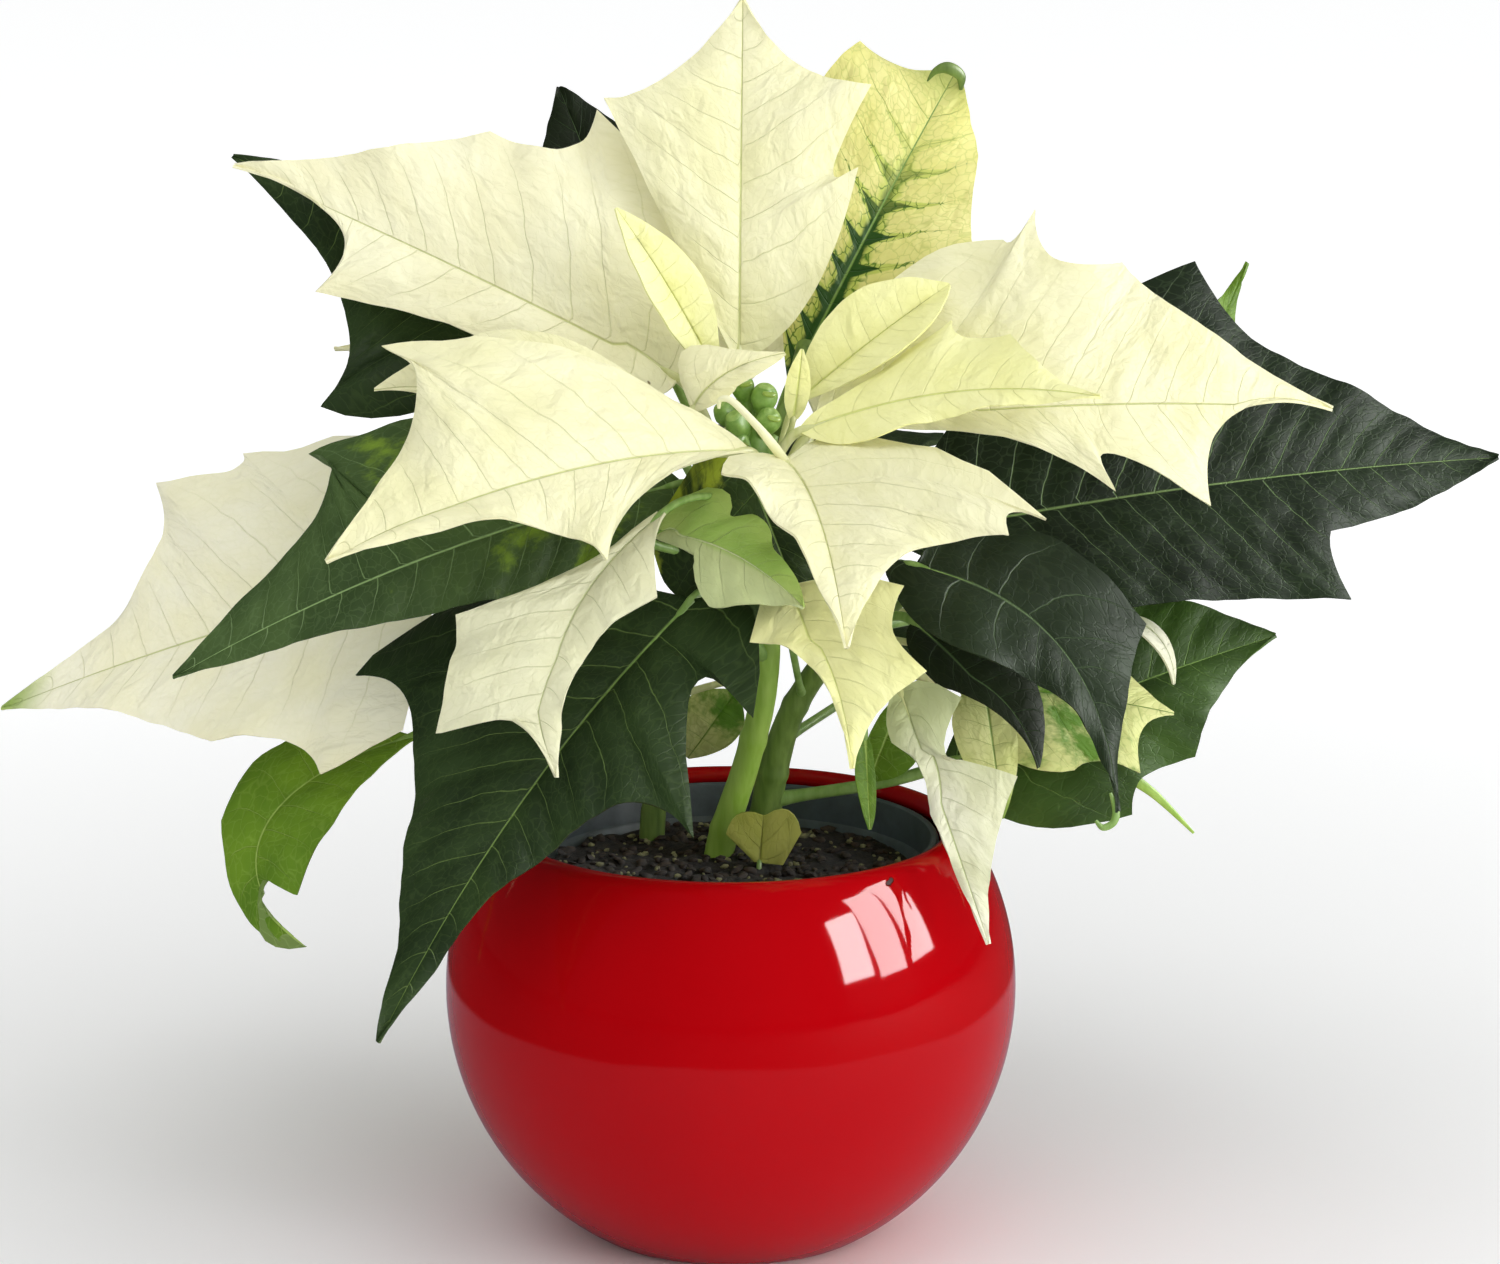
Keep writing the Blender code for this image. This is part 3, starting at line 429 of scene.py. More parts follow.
VEINS = make_vein_group()


# %% Leaf and bract finishes
def blade_finish(
    name, tones, side=0.6, net=0.2, roughness=0.5, groove=True, relief=1.0, crumple=0.8, **more
):
    """One side of a blade. Its four tones are its flesh, a darker flesh, its veins and its midrib."""
    flesh, shade, vein, rib = tones.split()
    made, tree, shader = new_finish(name, Roughness=roughness, Specular_IOR_Level=0.16, **more)
    lines = add_node(tree, "Group", node_tree=VEINS).outputs
    patch = add_node(tree, "MapRange", {0: lines["Cloud"], 1: 0.38, 2: 0.66})
    tone = add_node(tree, "Mix", {0: patch, 6: colour(flesh), 7: colour(shade)}, data_type="RGBA")
    for mask, strength, code in (("Net", net, vein), ("Side vein", side, vein), ("Rib", 0.9, rib)):
        part = add_node(tree, "Math", {0: lines[mask], 1: strength}, operation="MULTIPLY")
        tone = add_node(tree, "Mix", {0: part, 6: tone, 7: colour(code)}, data_type="RGBA")
    sign = -1.0 if groove else 1.0
    grain = add_node(tree, "TexNoise", {"Vector": lines["Blade"], "Scale": 1.4, "Detail": 3.0})
    crumples = {"Vector": lines["Blade"], "Scale": 0.16, "Detail": 2.5, "Roughness": 0.5, "Distortion": 0.5}
    folds = add_node(tree, "TexNoise", crumples)
    height = lines["Rib"]
    for source, amount in (
        (lines["Side vein"], 1.4 * relief),
        (lines["Net"], 0.25 * relief),
        (grain, 0.25 * sign),
        (folds, 3.0 * crumple * sign),
    ):
        height = add_node(tree, "Math", {0: source, 1: amount, 2: height}, operation="MULTIPLY_ADD")
    bump = add_node(tree, "Bump", {"Strength": 0.7, "Distance": 0.3 * MM, "Height": height}, invert=groove)
    set_inputs(tree, shader, {"Base Color": tone, "Normal": bump})
    return made


def overlay(made, code, mask, *measures):
    """Lay another colour over a finish where a mask, built from its vein masks, is 1."""
    tree = made.node_tree
    shader = tree.nodes["Principled BSDF"]
    lines = next(node for node in tree.nodes if node.type == "GROUP").outputs
    below = shader.inputs["Base Color"].links[0].from_socket
    mixed = {0: mask(tree, lines, *measures), 6: below, 7: colour(code)}
    set_inputs(tree, shader, {"Base Color": add_node(tree, "Mix", mixed, data_type="RGBA")})


# %% Masks for mixed colours
def ramp_mask(tree, lines, source, start, end, low, high):
    """A smooth ramp from low to high between two values of one vein mask."""
    return add_node(tree, "MapRange", {0: lines[source], 1: start, 2: end, 3: low, 4: high}, **SMOOTH)


def mottle_mask(tree, lines, low, high, size, until=1.2, strength=1.0):
    """Blotches of a size in millimetres, thinning out towards a share of the length."""
    spots = {"Vector": lines["Blade"], "Scale": 1.0 / size, "Detail": 5.0, "Roughness": 0.6}
    blotch = add_node(tree, "TexNoise", spots)
    fade = add_node(tree, "MapRange", {0: lines["Share"], 1: until - 0.4, 2: until, 3: 0.0, 4: 0.35})
    drop = add_node(tree, "Math", {0: blotch, 1: fade}, operation="SUBTRACT")
    return add_node(tree, "MapRange", {0: drop, 1: low, 2: high, 3: 0.0, 4: strength}, **SMOOTH)


def halo_mask(tree, lines, foot_width, mid_width, until):
    """Full near the rib and its side veins, with a ragged edge, narrowing from foot to middle."""
    share = lines["Share"]
    spread = add_node(tree, "MapRange", {0: share, 1: 0.0, 2: until, 3: foot_width, 4: mid_width})
    flare = add_node(tree, "MapRange", {0: lines["Near vein"], 1: 0.0, 2: 0.2, 3: 1.0, 4: 0.0})
    rough = add_node(tree, "TexNoise", {"Vector": lines["Blade"], "Scale": 0.4, "Detail": 3.0})
    reach = lines["Reach"]
    for source, amount in ((flare, -1.7 * foot_width), (rough, foot_width * 0.6)):
        reach = add_node(tree, "Math", {0: source, 1: amount, 2: reach}, operation="MULTIPLY_ADD")
    near = add_node(tree, "Math", {0: reach, 1: spread}, operation="SUBTRACT")
    edge = add_node(tree, "MapRange", {0: near, 1: 0.0, 2: foot_width * 0.4, 3: 1.0, 4: 0.0}, **SMOOTH)
    far = add_node(tree, "MapRange", {0: share, 1: until - 0.25, 2: until, 3: 1.0, 4: 0.0})
    return add_node(tree, "Math", {0: edge, 1: far}, operation="MULTIPLY")


def net_halo_mask(tree, lines, *measures):
    """The net of fine veins where it lies in the halo."""
    halo = halo_mask(tree, lines, *measures)
    return add_node(tree, "Math", {0: halo, 1: lines["Net"]}, operation="MULTIPLY")


def speck_mask(tree, lines):
    """A few brown specks about half a millimetre wide, 9 mm apart and only here and there."""
    dots = add_node(tree, "TexVoronoi", {"Vector": lines["Blade"], "Scale": 0.11})
    small = add_node(tree, "MapRange", {0: dots, 1: 0.035, 2: 0.06, 3: 0.9, 4: 0.0})
    chosen = add_node(tree, "SeparateXYZ", {0: dots.outputs["Color"]})
    some = add_node(tree, "Math", {0: chosen, 1: 0.8}, operation="GREATER_THAN")
    return add_node(tree, "Math", {0: small, 1: some}, operation="MULTIPLY")


# %% Finishes of whole groups of blades
# Bracts are as thin as paper: dull, softly crumpled, with a faint sheen from their fine down. Green
# leaves are leathery and smoother, with pale veins pressed into a dark, slightly glossy face.
PAPERY = {"roughness": 0.6, "relief": 0.6, "crumple": 2.4, "Sheen_Weight": 0.15, "Sheen_Roughness": 0.5}
LEATHERY = {"side": 0.75, "net": 0.07, "roughness": 0.55}
FINISHES = {}
for key, top, under in (
    ("cream", "#f5f2c8 #f0edbb #dadb9c #cbd086", "#efecbf #eae7b6 #dadca2 #cdd48f"),
    ("yellow", "#f8f7b6 #f4f3a8 #e9ea98 #dfe588", "#f3f2a8 #eeeda2 #e0e28f #d2da80"),
    ("pale", "#e9e8c4 #e2e1b8 #d2d5a0 #c4cb90", "#e3e2bc #dcdbb0 #cccf9a #bac284"),
):
    FINISHES[key] = (
        blade_finish(f"{key}_bract_tissue", top, side=0.45, net=0.12, **PAPERY),
        blade_finish(f"{key}_bract_underside", under, side=0.5, net=0.12, groove=False, **PAPERY),
    )
UNDERSIDE = blade_finish(
    "green_leaf_underside", "#52653f #5d7048 #83976a #9db180", side=0.7, net=0.3, roughness=0.7, groove=False
)
for key, top in (
    ("dark", "#314521 #24351a #77914f #809d50"),
    ("back", "#1f2f17 #172411 #7f9a66 #87a363"),
    ("black", "#242f19 #1a2311 #48613a #5f7a4b"),
    ("grey", "#2b3a24 #212e1a #5c7050 #667d55"),
    ("green", "#456325 #364f1e #7c9f50 #8fb35d"),
):
    FINISHES[key] = (blade_finish(f"{key}_leaf_surface", top, **LEATHERY), UNDERSIDE)
BRIGHT_UNDERSIDE = blade_finish(
    "bright_leaf_underside", "#7d9550 #718a47 #9db36d #aec381", net=0.3, roughness=0.65, groove=False
)
print("finishes so far:", sorted(FINISHES))

# %% [markdown]
# ### Finishes of single leaves
#
# Some leaves are between leaf and bract. One cream bract keeps a dark green network round its midrib.
# Lime bracts are blotched. The big left leaf is dark with lime flecks near its foot, and the small dry
# leaf has lost most of its green. Each starts from the same function and gets one or more overlays.
# %% Mixed finishes
def mixed_finish(key, name, tones, under, *layers, **looks):
    """Note a blade's two sides: a surface with its overlays, and the underside, or the same again."""
    made = blade_finish(name, tones, **looks)
    for layer in layers:
        overlay(made, *layer)
    FINISHES[key] = (made, under or made)


PALE_UNDER, CREAM_UNDER = FINISHES["pale"][1], FINISHES["cream"][1]
mixed_finish(
    "veined", "green_veined_bract", "#ece798 #e6e287 #b7c45f #86a556", PALE_UNDER,
    ("#c6d165", halo_mask, 6.5, 2.2, 0.85), ("#567f24", net_halo_mask, 8.0, 2.6, 0.8),
    ("#2a5212", halo_mask, 3.4, 1.2, 0.74), ("#86a854", lambda tree, lines: lines["Rib"]),
    ("#a9bb54", ramp_mask, "Share", 0.82, 1.0, 0.0, 0.7), side=0.85, net=0.4, **PAPERY,
)
mixed_finish(
    "lime", "lime_blotched_bract", "#e3e59a #d3da84 #a5b857 #86a544", PALE_UNDER,
    ("#5f9122", mottle_mask, 0.42, 0.6, 9.0, 1.0, 0.95), side=0.8, net=0.3, **PAPERY,
)
mixed_finish(
    "slim", "lime_slim_bract", "#dde09a #cdd47f #a3b45a #7c9c40", PALE_UNDER,
    ("#7fa03a", ramp_mask, "Share", 0.72, 0.98, 0.0, 0.9), side=0.7, **PAPERY,
)
mixed_finish(
    "mottled", "mottled_leaf_surface", "#4a6133 #384d27 #8aa86c #9aba78", UNDERSIDE,
    ("#7d9c30", mottle_mask, 0.5, 0.66, 11.0, 0.75, 0.85), side=0.75, net=0.1, roughness=0.55,
)
mixed_finish(
    "patched", "yellow_patched_leaf", "#33461f #253517 #6d8a45 #7f9b52", UNDERSIDE,
    ("#a9b936", mottle_mask, 0.36, 0.56, 7.0, 0.42, 0.9), side=0.7, net=0.1, roughness=0.55,
)
mixed_finish(
    "bright", "bright_leaf_surface", "#719626 #5a7f1f #9dbb55 #aeca66", BRIGHT_UNDERSIDE,
    side=0.7, roughness=0.55,
)
# The curled leaf's greens are lightened past its own colour: painted light that makes up for the shade it
# sits in below the head. Its paler lower half is its underside's own colour.
mixed_finish(
    "curled", "young_leaf_surface_painted_light", "#b3cc70 #97b957 #c6da90 #e1eab8", BRIGHT_UNDERSIDE,
    ("#c6cf9a", ramp_mask, "Out", -0.15, 0.05, 0.9, 0.0), side=0.5, net=0.12, roughness=0.55, crumple=1.5,
)
# The far-left bract's cream is lighter than the other bracts' cream: painted light that makes up for the
# shade it lies in at the back left. Its green tip is its own colour.
mixed_finish(
    "green_tip", "cream_bract_green_tip_painted_light", "#fffce0 #fcf8d2 #e8e8b4 #d2d892", CREAM_UNDER,
    ("#93b14c", ramp_mask, "Share", 0.86, 0.99, 0.0, 0.9), side=0.5, net=0.1, **PAPERY,
)
mixed_finish(
    "green_foot", "hanging_bract_tissue", "#ebead0 #dfe0b8 #c9cf98 #b9c384", PALE_UNDER,
    ("#b3c07a", ramp_mask, "Share", 0.02, 0.45, 0.75, 0.0), side=0.35, net=0.1, **PAPERY,
)
mixed_finish(
    "specked", "specked_cream_bract", "#f6f3cf #f1edc4 #dcdca2 #cfd28e", CREAM_UNDER,
    ("#7a6a3a", speck_mask), net=0.1, **PAPERY,
)
# The dry leaf's yellow is its own, but its tones are lightened past it: painted light that makes up for the
# shade it lies in on the peat under the leaves.
mixed_finish(
    "dry", "yellowing_leaf_painted_light", "#b0b450 #c6c566 #9da04a #8d9040", None, side=0.35, net=0.15, roughness=0.7
)


# %% Finishes of stems and flowers
def stem_finish(name, dark, light):
    """Smooth green bark with fine lengthwise streaks about 2 mm apart."""
    made, tree, shader = new_finish(name, Roughness=0.42)
    place = add_node(tree, "TexCoord").outputs["Object"]
    long_way = add_node(tree, "Mapping", {"Vector": place, "Scale": (500.0, 500.0, 60.0)})
    streak = add_node(tree, "TexNoise", {"Vector": long_way, "Scale": 1.0, "Detail": 3.0})
    share = add_node(tree, "MapRange", {0: streak, 1: 0.35, 2: 0.65})
    tone = add_node(tree, "Mix", {0: share, 6: colour(dark), 7: colour(light)}, data_type="RGBA")
    bump = add_node(tree, "Bump", {"Strength": 0.4, "Distance": 0.2 * MM, "Height": streak})
    set_inputs(tree, shader, {"Base Color": tone, "Normal": bump})
    return made


# The main stem's green, which the thin leaf tip shares, is partly its own young green and partly painted
# light: it is lightened to make up for the shade of the head above it.
STEM_BRIGHT = stem_finish("young_stem_skin_painted_light", "#97c044", "#acd05c")
STEM_DARK = stem_finish("older_stem_skin", "#5f7a33", "#7d9848")
STALK_GREEN = stem_finish("leaf_stalk_skin", "#7ca24a", "#98b868")
STALK_CREAM = stem_finish("bract_stalk_skin", "#cfd38f", "#dfe0a8")
BUD_GREEN = make_speckled("waxy_bud", "#6a9436", "#8cb055", 3.0, 0.5, 0.25)
BUD_TIP = make_speckled("bud_lobe", "#84a84e", "#a3c068", 2.0, 0.5, 0.15)
GLAND_LIME = make_speckled("nectar_gland", "#8aa848", "#a3ba58", 2.0, 0.35, 0.05)
print("all finishes:", len(bpy.data.materials))

# %% [markdown]
# ## Stems
#
# A stem is a tube along a smooth curve, and old leaf scars swell it a little below the lowest leaves. A
# curve with a bevel gives such a tube in one step, and its caps are welded so that it is a closed solid.
# %% Tubes
def line(*triples):
    return [Vector(triple) for triple in triples]


def tube(points, radii, resolution):
    """A bmesh tube along points in millimetres, each with its own radius, with welded caps."""
    curve = bpy.data.curves.new("guide", "CURVE")
    curve.dimensions = "3D"
    curve.bevel_depth = MM
    curve.bevel_resolution = resolution
    curve.use_fill_caps = True
    spline = curve.splines.new("POLY")
    spline.points.add(len(points) - 1)
    for slot, point, radius in zip(spline.points, points, radii):
        slot.co = (*(point * MM), 1.0)
        slot.radius = radius
    bm = applied(new_object("guide", curve))
    bmesh.ops.remove_doubles(bm, verts=bm.verts, dist=WELD / 4.0)
    bmesh.ops.recalc_face_normals(bm, faces=bm.faces)
    return bm


def smooth_tube(points, radii, steps, resolution, swell=None):
    """A tube along a smooth curve through a few points and radii, and the points of its middle."""
    path = [smooth_point(points, i / steps) for i in range(steps + 1)]
    sizes = [smooth_point(radii, i / steps) for i in range(steps + 1)]
    if swell:
        sizes = [size * swell(spot) for size, spot in zip(sizes, path)]
    return tube(path, sizes, resolution), path


# %% Stems
# Each stem: the points of its middle from its foot in the peat to its top, its radii, its finish, and
# the heights at which old leaf scars swell it
STEMS = {
    "main": (
        line((-3, 12, 66), (-3, 12, 90), (4, 8, 115), (8, 5, 133), (9, 2, 152), (7, 0, 172), (6, -2, 190)),
        (3.6, 3.7, 3.3, 3.2, 3.1, 3.0, 3.4), STEM_BRIGHT, (97, 121),
    ),
    "side": (
        line((8, 21, 66), (8, 21, 90), (10, 18, 108), (15, 14, 126), (24, 10, 141), (34, 6, 151),
             (42, 4, 158)),
        (4.0, 4.0, 3.8, 3.2, 3.0, 2.8, 2.4), STEM_DARK, (98, 110, 128),
    ),
    "left": (
        line((-20, 28, 66), (-20, 28, 90), (-19, 28, 106), (-22, 29, 121), (-33, 30, 138), (-50, 31, 150),
             (-66, 30, 158)),
        (3.2, 3.2, 3.1, 3.0, 2.8, 2.5, 2.2), STEM_DARK, (104, 124),
    ),
}
SCAR_SWELL = 0.1
SCAR_LENGTH = 1.3


def stem_place(name, height):
    """Middle and radius of a stem at a height above the base."""
    points, radii = STEMS[name][:2]
    low, high = 0.0, 1.0
    for _ in range(30):
        middle = (low + high) / 2.0
        if smooth_point(points, middle).z < height:
            low = middle
        else:
            high = middle
    return smooth_point(points, low), smooth_point(radii, low)


def make_stem(name):
    points, radii, finish, scars = STEMS[name]

    def swell(spot):
        return 1.0 + sum(SCAR_SWELL * math.exp(-(((spot.z - scar) / SCAR_LENGTH) ** 2)) for scar in scars)

    bm, _ = smooth_tube(points, radii, 90, 8, swell)
    for vert in bm.verts:
        vert.co += Vector((1.0, 1.0, 0.0)) * 0.12 * MM * noise.noise(vert.co / MM / 3.0)
    return add_piece(f"{name}_stem_skin", bm, [finish], [f"stem_{name}"])


for stem_name in STEMS:
    make_stem(stem_name)
print("stems:", list(STEMS))

# %% [markdown]
# ## How a blade is made
#
# Each blade is a flat grid that is laid on a bent surface. Its rows run from the midrib out to the margin
# at the slant that side veins have, and each lobe's tip has a row of its own. The margin is a chain of
# bows between lobe tips, measured on the flattened leaf. Then the surface is shaped: it arches along the
# rib, folds along it like a shallow roof, quilts up between the side veins, and waves at its margin. Last
# come its thickness and its stalk, which is widest at the stem and runs on under the blade as the midrib.
# %% Laying a leaf in space
def leaf_frame(base, tip, face):
    """The base, the unit directions along, to the right of and above a blade, and its length."""
    base = Vector(base)
    chord = Vector(tip) - base
    along = chord.normalized()
    up = Vector(face)
    up = (up - along * up.dot(along)).normalized()
    return base, along, along.cross(up), up, chord.length


def bent(lie, arch, x, y, rise):
    """Place leaf measures in space: x along the chord, y to the right, rise above the face."""
    base, along, side, up, length = lie
    t = x / length
    slope = 4.0 * arch * (1.0 - 2.0 * t) / length
    normal = side.cross((along + up * slope).normalized())
    return base + along * x + up * (4.0 * arch * t * (1.0 - t)) + side * y + normal * rise


def bow(start, through, end, t):
    """Point at t on a curve that passes the middle point half way."""
    control = 2.0 * through - (start + end) / 2.0
    return start * (1.0 - t) ** 2 + control * (2.0 * t * (1.0 - t)) + end * t**2


# %% Margins and rows
SLANT = 0.6
HALF_FOOT = 1.1
HALF_TIP = 0.35
TOOTH_SPACING = 0.07
LAST_TOOTH = 0.93
VEIN_SPACING = 9.0
CLOSEST_VEINS = 4.5
RIB_ROOM = 0.2


def margin(outline, length, rib, sign):
    """Shares of the rib, corners, bows and vein counts of one margin, listed bow, tooth, ... bow."""
    stations = [0.0]
    corners = [Vector((0.0, sign * HALF_FOOT))]
    for x, y in outline[1::2]:
        share = (x - SLANT * abs(sign * y - rib[1])) / length
        stations.append(min(max(share, stations[-1] + TOOTH_SPACING), LAST_TOOTH))
        corners.append(Vector((x, sign * y)))
    stations.append(1.0)
    corners.append(Vector((length, sign * HALF_TIP)))
    bows = [Vector((x, sign * y)) for x, y in outline[0::2]]
    counts = [0]
    spacing = max(CLOSEST_VEINS, min(VEIN_SPACING, length / 9.0))
    for station in stations[1:]:
        counts.append(max(counts[-1] + 1, round(station * length / spacing)))
    return stations, corners, bows, counts


def margin_point(edge, share):
    """Point of the margin and count of side veins at a share of the rib."""
    stations, corners, bows, counts = edge
    for number, through in enumerate(bows):
        start, end = stations[number], stations[number + 1]
        if share <= end:
            t = (share - start) / (end - start)
            count = counts[number] + (counts[number + 1] - counts[number]) * t
            return bow(corners[number], through, corners[number + 1], t), count
    return corners[-1], counts[-1]


def kept_inside(spot, left, right):
    """The rib keeps away from both margins where a blade's tip bends off the rib's own curve."""
    room = (right.y - left.y) * RIB_ROOM
    spot.y = min(max(spot.y, left.y + room), right.y - room)
    return spot


def blade_rows(left_edge, right_edge, step):
    """Shares of the rib at which rows cross the blade: every tooth, and even steps between."""
    rows = [0.0]
    for mark in sorted(set(left_edge[0] + right_edge[0]))[1:]:
        start = rows[-1]
        if mark - start < step * 0.4:
            continue
        parts = max(1, round((mark - start) / step))
        rows += [start + (mark - start) * (i + 1) / parts for i in range(parts)]
    rows[-1] = 1.0
    return rows


# %% The blade itself
ROW_STEP = 1.5
COLUMN_STEP = 2.2
SWELL = 0.05
WAVES = 3.0


def blade_grid(number, lie, left_edge, right_edge, spine, shape):
    """The thin curved sheet of one blade, with its place on the leaf kept in two attributes."""
    length = lie[4]
    arch = shape.get("arch", 0.0)
    fold = math.radians(shape.get("fold", 0.0))
    ruffle = shape.get("ruffle", 0.0)
    quilt = shape.get("quilt", 0.16)
    rows = blade_rows(left_edge, right_edge, ROW_STEP / length)
    width = max(abs(corner.y) for corner in left_edge[1] + right_edge[1])
    columns = max(5, round(width / COLUMN_STEP))
    spans = len(rows) - 1
    bm = bmesh.new()
    bmesh.ops.create_grid(bm, x_segments=spans, y_segments=2 * columns, size=0.5)
    blade_layer = bm.verts.layers.float_vector.new("blade")
    place_layer = bm.verts.layers.float_vector.new("place")
    for vert in bm.verts:
        share = rows[round((vert.co.x + 0.5) * spans)]
        column = round((vert.co.y + 0.5) * 2 * columns) - columns
        sign = 1.0 if column > 0 else -1.0
        out = 0.03 if abs(column) == 1 else abs(column) / columns
        middle = spine(share)
        edge, count = margin_point(left_edge if column > 0 else right_edge, share)
        if column == 0:
            count = (count + margin_point(left_edge, share)[1]) / 2.0
        reach = (edge - middle) * out
        far = reach.length
        full = (edge - middle).length
        # The margin frays a little, and the half waves, folds up and swells between rib and margin
        frill = noise.noise(Vector((share * length / 5.0, sign * 3.0, number))) * 0.35 * out**3
        reach *= 1.0 + frill / max(full, 3.0)
        wave = math.sin(math.tau * WAVES * share + (1.0 if column > 0 else 2.6))
        rise = far * math.sin(fold) + ruffle * out**2 * wave + 4.0 * SWELL * far * (1.0 - out)
        # Quilting: pillows between the side veins, which run to the margin in a slight curve
        veins = count + 0.5 * (1.0 - out**2)
        taper = min(1.0, far / 4.0) * min(1.0, (1.0 - out) * 5.0 + 0.15) * min(1.0, full / 14.0)
        rise += quilt * 2.0 * taper * (abs(math.sin(math.pi * veins)) ** 0.6 - 0.6)
        # Slow buckling, short frills along the margin, and a channel along the rib
        spot = middle + Vector((reach.x, reach.y * math.cos(fold)))
        drift = Vector((spot.x, spot.y, number * 17.0))
        rise += min(1.0, far / 10.0) * (1.2 * noise.noise(drift / 24.0) + 0.6 * noise.noise(drift / 8.0))
        rise += 0.45 * out**5 * math.sin(spot.x / 2.6 + number) * min(1.0, full / 20.0)
        rise -= 0.35 * math.exp(-((far / 1.6) ** 2)) * (1.0 - share)
        vert[blade_layer] = Vector((share * length, sign * far, number * 40.0))
        vert[place_layer] = Vector((share, sign * out, veins))
        vert.co = bent(lie, arch, spot.x, spot.y, rise) * MM
    return bm


# %% The stalk
STALK_STEPS = 16
RIB_STEPS = 24
RIB_END = 0.96


def stalk_tube(foot, stem_radius, lie, spine, shape):
    """The stalk from the stem to the blade, running on under it as the raised midrib."""
    base, length = lie[0], lie[4]
    arch = shape.get("arch", 0.0)
    radius = shape.get("petiole", 1.3)
    first = spine(0.06)
    first = bent(lie, arch, first.x, first.y, -0.25)
    reach = (base - foot).length / 3.0
    lift = Vector(shape.get("lift", (0.0, 0.0, 0.0)))
    leave = foot + ((base - foot).normalized() + lift).normalized() * reach
    arrive = base - (first - base).normalized() * reach
    path, sizes = [], []
    for i in range(STALK_STEPS + 1):
        t = i / STALK_STEPS
        near = foot * (1 - t) ** 3 + leave * 3 * t * (1 - t) ** 2
        path.append(near + arrive * 3 * t**2 * (1 - t) + base * t**3)
        beyond = max((path[-1] - foot).length - stem_radius, 0.0)
        sizes.append(radius * (0.9 + 0.35 * math.exp(-beyond / 2.5)))
    for i in range(1, RIB_STEPS + 1):
        share = RIB_END * i / RIB_STEPS
        thick = radius * (0.9 - 0.78 * share**0.6) * min(1.0, 0.4 + length / 60.0)
        spot = spine(share)
        path.append(bent(lie, arch, spot.x, spot.y, -0.35 - 0.55 * thick))
        sizes.append(max(thick, 0.12))
    return tube(path, sizes, 3)


# %% Joining blade and stalk
BLADE_THICKNESS = 0.6
LEAVES = []
SLOTS = dict.fromkeys(("cream", "yellow", "pale", "green_tip", "green_foot", "specked"), "bract_cream")
SLOTS.update(dict.fromkeys(("veined", "lime", "slim"), "bract_lime"))
SLOTS.update(dict.fromkeys(("dark", "back", "black", "grey", "green", "mottled", "patched"), "leaf_green"))
SLOTS.update(bright="leaf_bright", curled="leaf_bright", dry="leaf_dry")


def leaf(name, finish, stem, height, base, tip, face, left, right, **shape):
    """Make one leaf or bract: the blade with its two sides, and its stalk from the stem."""
    number = len(LEAVES)
    LEAVES.append(name)
    lie = leaf_frame(base, tip, face)
    length = lie[4]
    rib = shape.get("rib", (length / 2.0, 0.0))
    left_edge, right_edge = margin(left, length, rib, -1.0), margin(right, length, rib, 1.0)

    def spine(share):
        middle = bow(Vector((0.0, 0.0)), Vector(rib), Vector((length, 0.0)), share)
        return kept_inside(middle, margin_point(left_edge, share)[0], margin_point(right_edge, share)[0])

    bm = blade_grid(number, lie, left_edge, right_edge, spine, shape)
    sheet = new_object("sheet", new_mesh("sheet", bm))
    stalk_skin = shape.get("stalk", STALK_CREAM if name.startswith("bract") else STALK_GREEN)
    finishes = [*FINISHES[finish], stalk_skin]
    for side in finishes:
        sheet.data.materials.append(side)
    shell = sheet.modifiers.new("Thickness", "SOLIDIFY")
    shell.thickness = BLADE_THICKNESS * MM
    shell.offset = 0.0
    shell.material_offset = 1
    shell.material_offset_rim = 0
    whole = applied(sheet)
    blade_faces = len(whole.faces)
    foot, stem_radius = stem_place(stem, height) if stem else (Vector(shape["foot"]), 1.0)
    whole.from_mesh(new_mesh("stalk", stalk_tube(foot, stem_radius, lie, spine, shape)))
    for part in list(whole.faces)[blade_faces:]:
        part.material_index = 2
    stands_for = [] if "extra" in shape else [name]
    return add_piece(f"{name}_blade", whole, finishes, stands_for, 60.0)


# %% [markdown]
# ## The bracts of the main head
#
# They are listed roughly from the innermost outwards. The face is the direction that the upper side
# looks in. Both margins are measured from the blade's foot: how far along, and how far out to that side.
# Points of bows and tips of teeth take turns. The stem is named with the height at which the stalk leaves it.
# %% Main head
leaf("bract_cup", "cream", "main", 188, (-9, -7, 205), (13, -12, 219), (0.2, -0.9, 0.3),
     [(4, 12), (12, 11), (18, 6)], [(8, 2), (13, 1), (21, 1)],
     arch=2, petiole=1.0, rib=(12, -3), lift=(-0.5, 0, -0.4))
leaf("bract_slim", "yellow", "main", 188, (15, -3, 202), (17, -5, 219), (0.1, -1, 0.1),
     [(8, 3)], [(8, 3)], arch=1, petiole=0.8, lift=(0.2, 0.5, -0.3))
leaf("bract_young_left", "yellow", "main", 186, (-4, 8, 212), (-27, -2, 252), (0.5, -0.8, 0.2),
     [(23, 8)], [(23, 8)], arch=2, fold=20, petiole=1.0, lift=(-0.8, 0.6, -0.9))
leaf("bract_young_right", "yellow", "main", 186, (17, 3, 206), (52, -2, 234), (-0.3, -0.9, 0.3),
     [(24, 12)], [(28, 8)], arch=2, fold=20, petiole=1.0, lift=(0.6, 0.2, -0.8))
leaf("bract_top", "cream", "main", 183, (2, 12, 214), (3, 26, 299), (0, -1, 0.25),
     [(31, 17), (62, 33), (68, 17)], [(15, 17), (46, 28), (46, 22), (66, 31), (71, 13)],
     arch=4, ruffle=1.2, lift=(0, 0.8, -0.8))
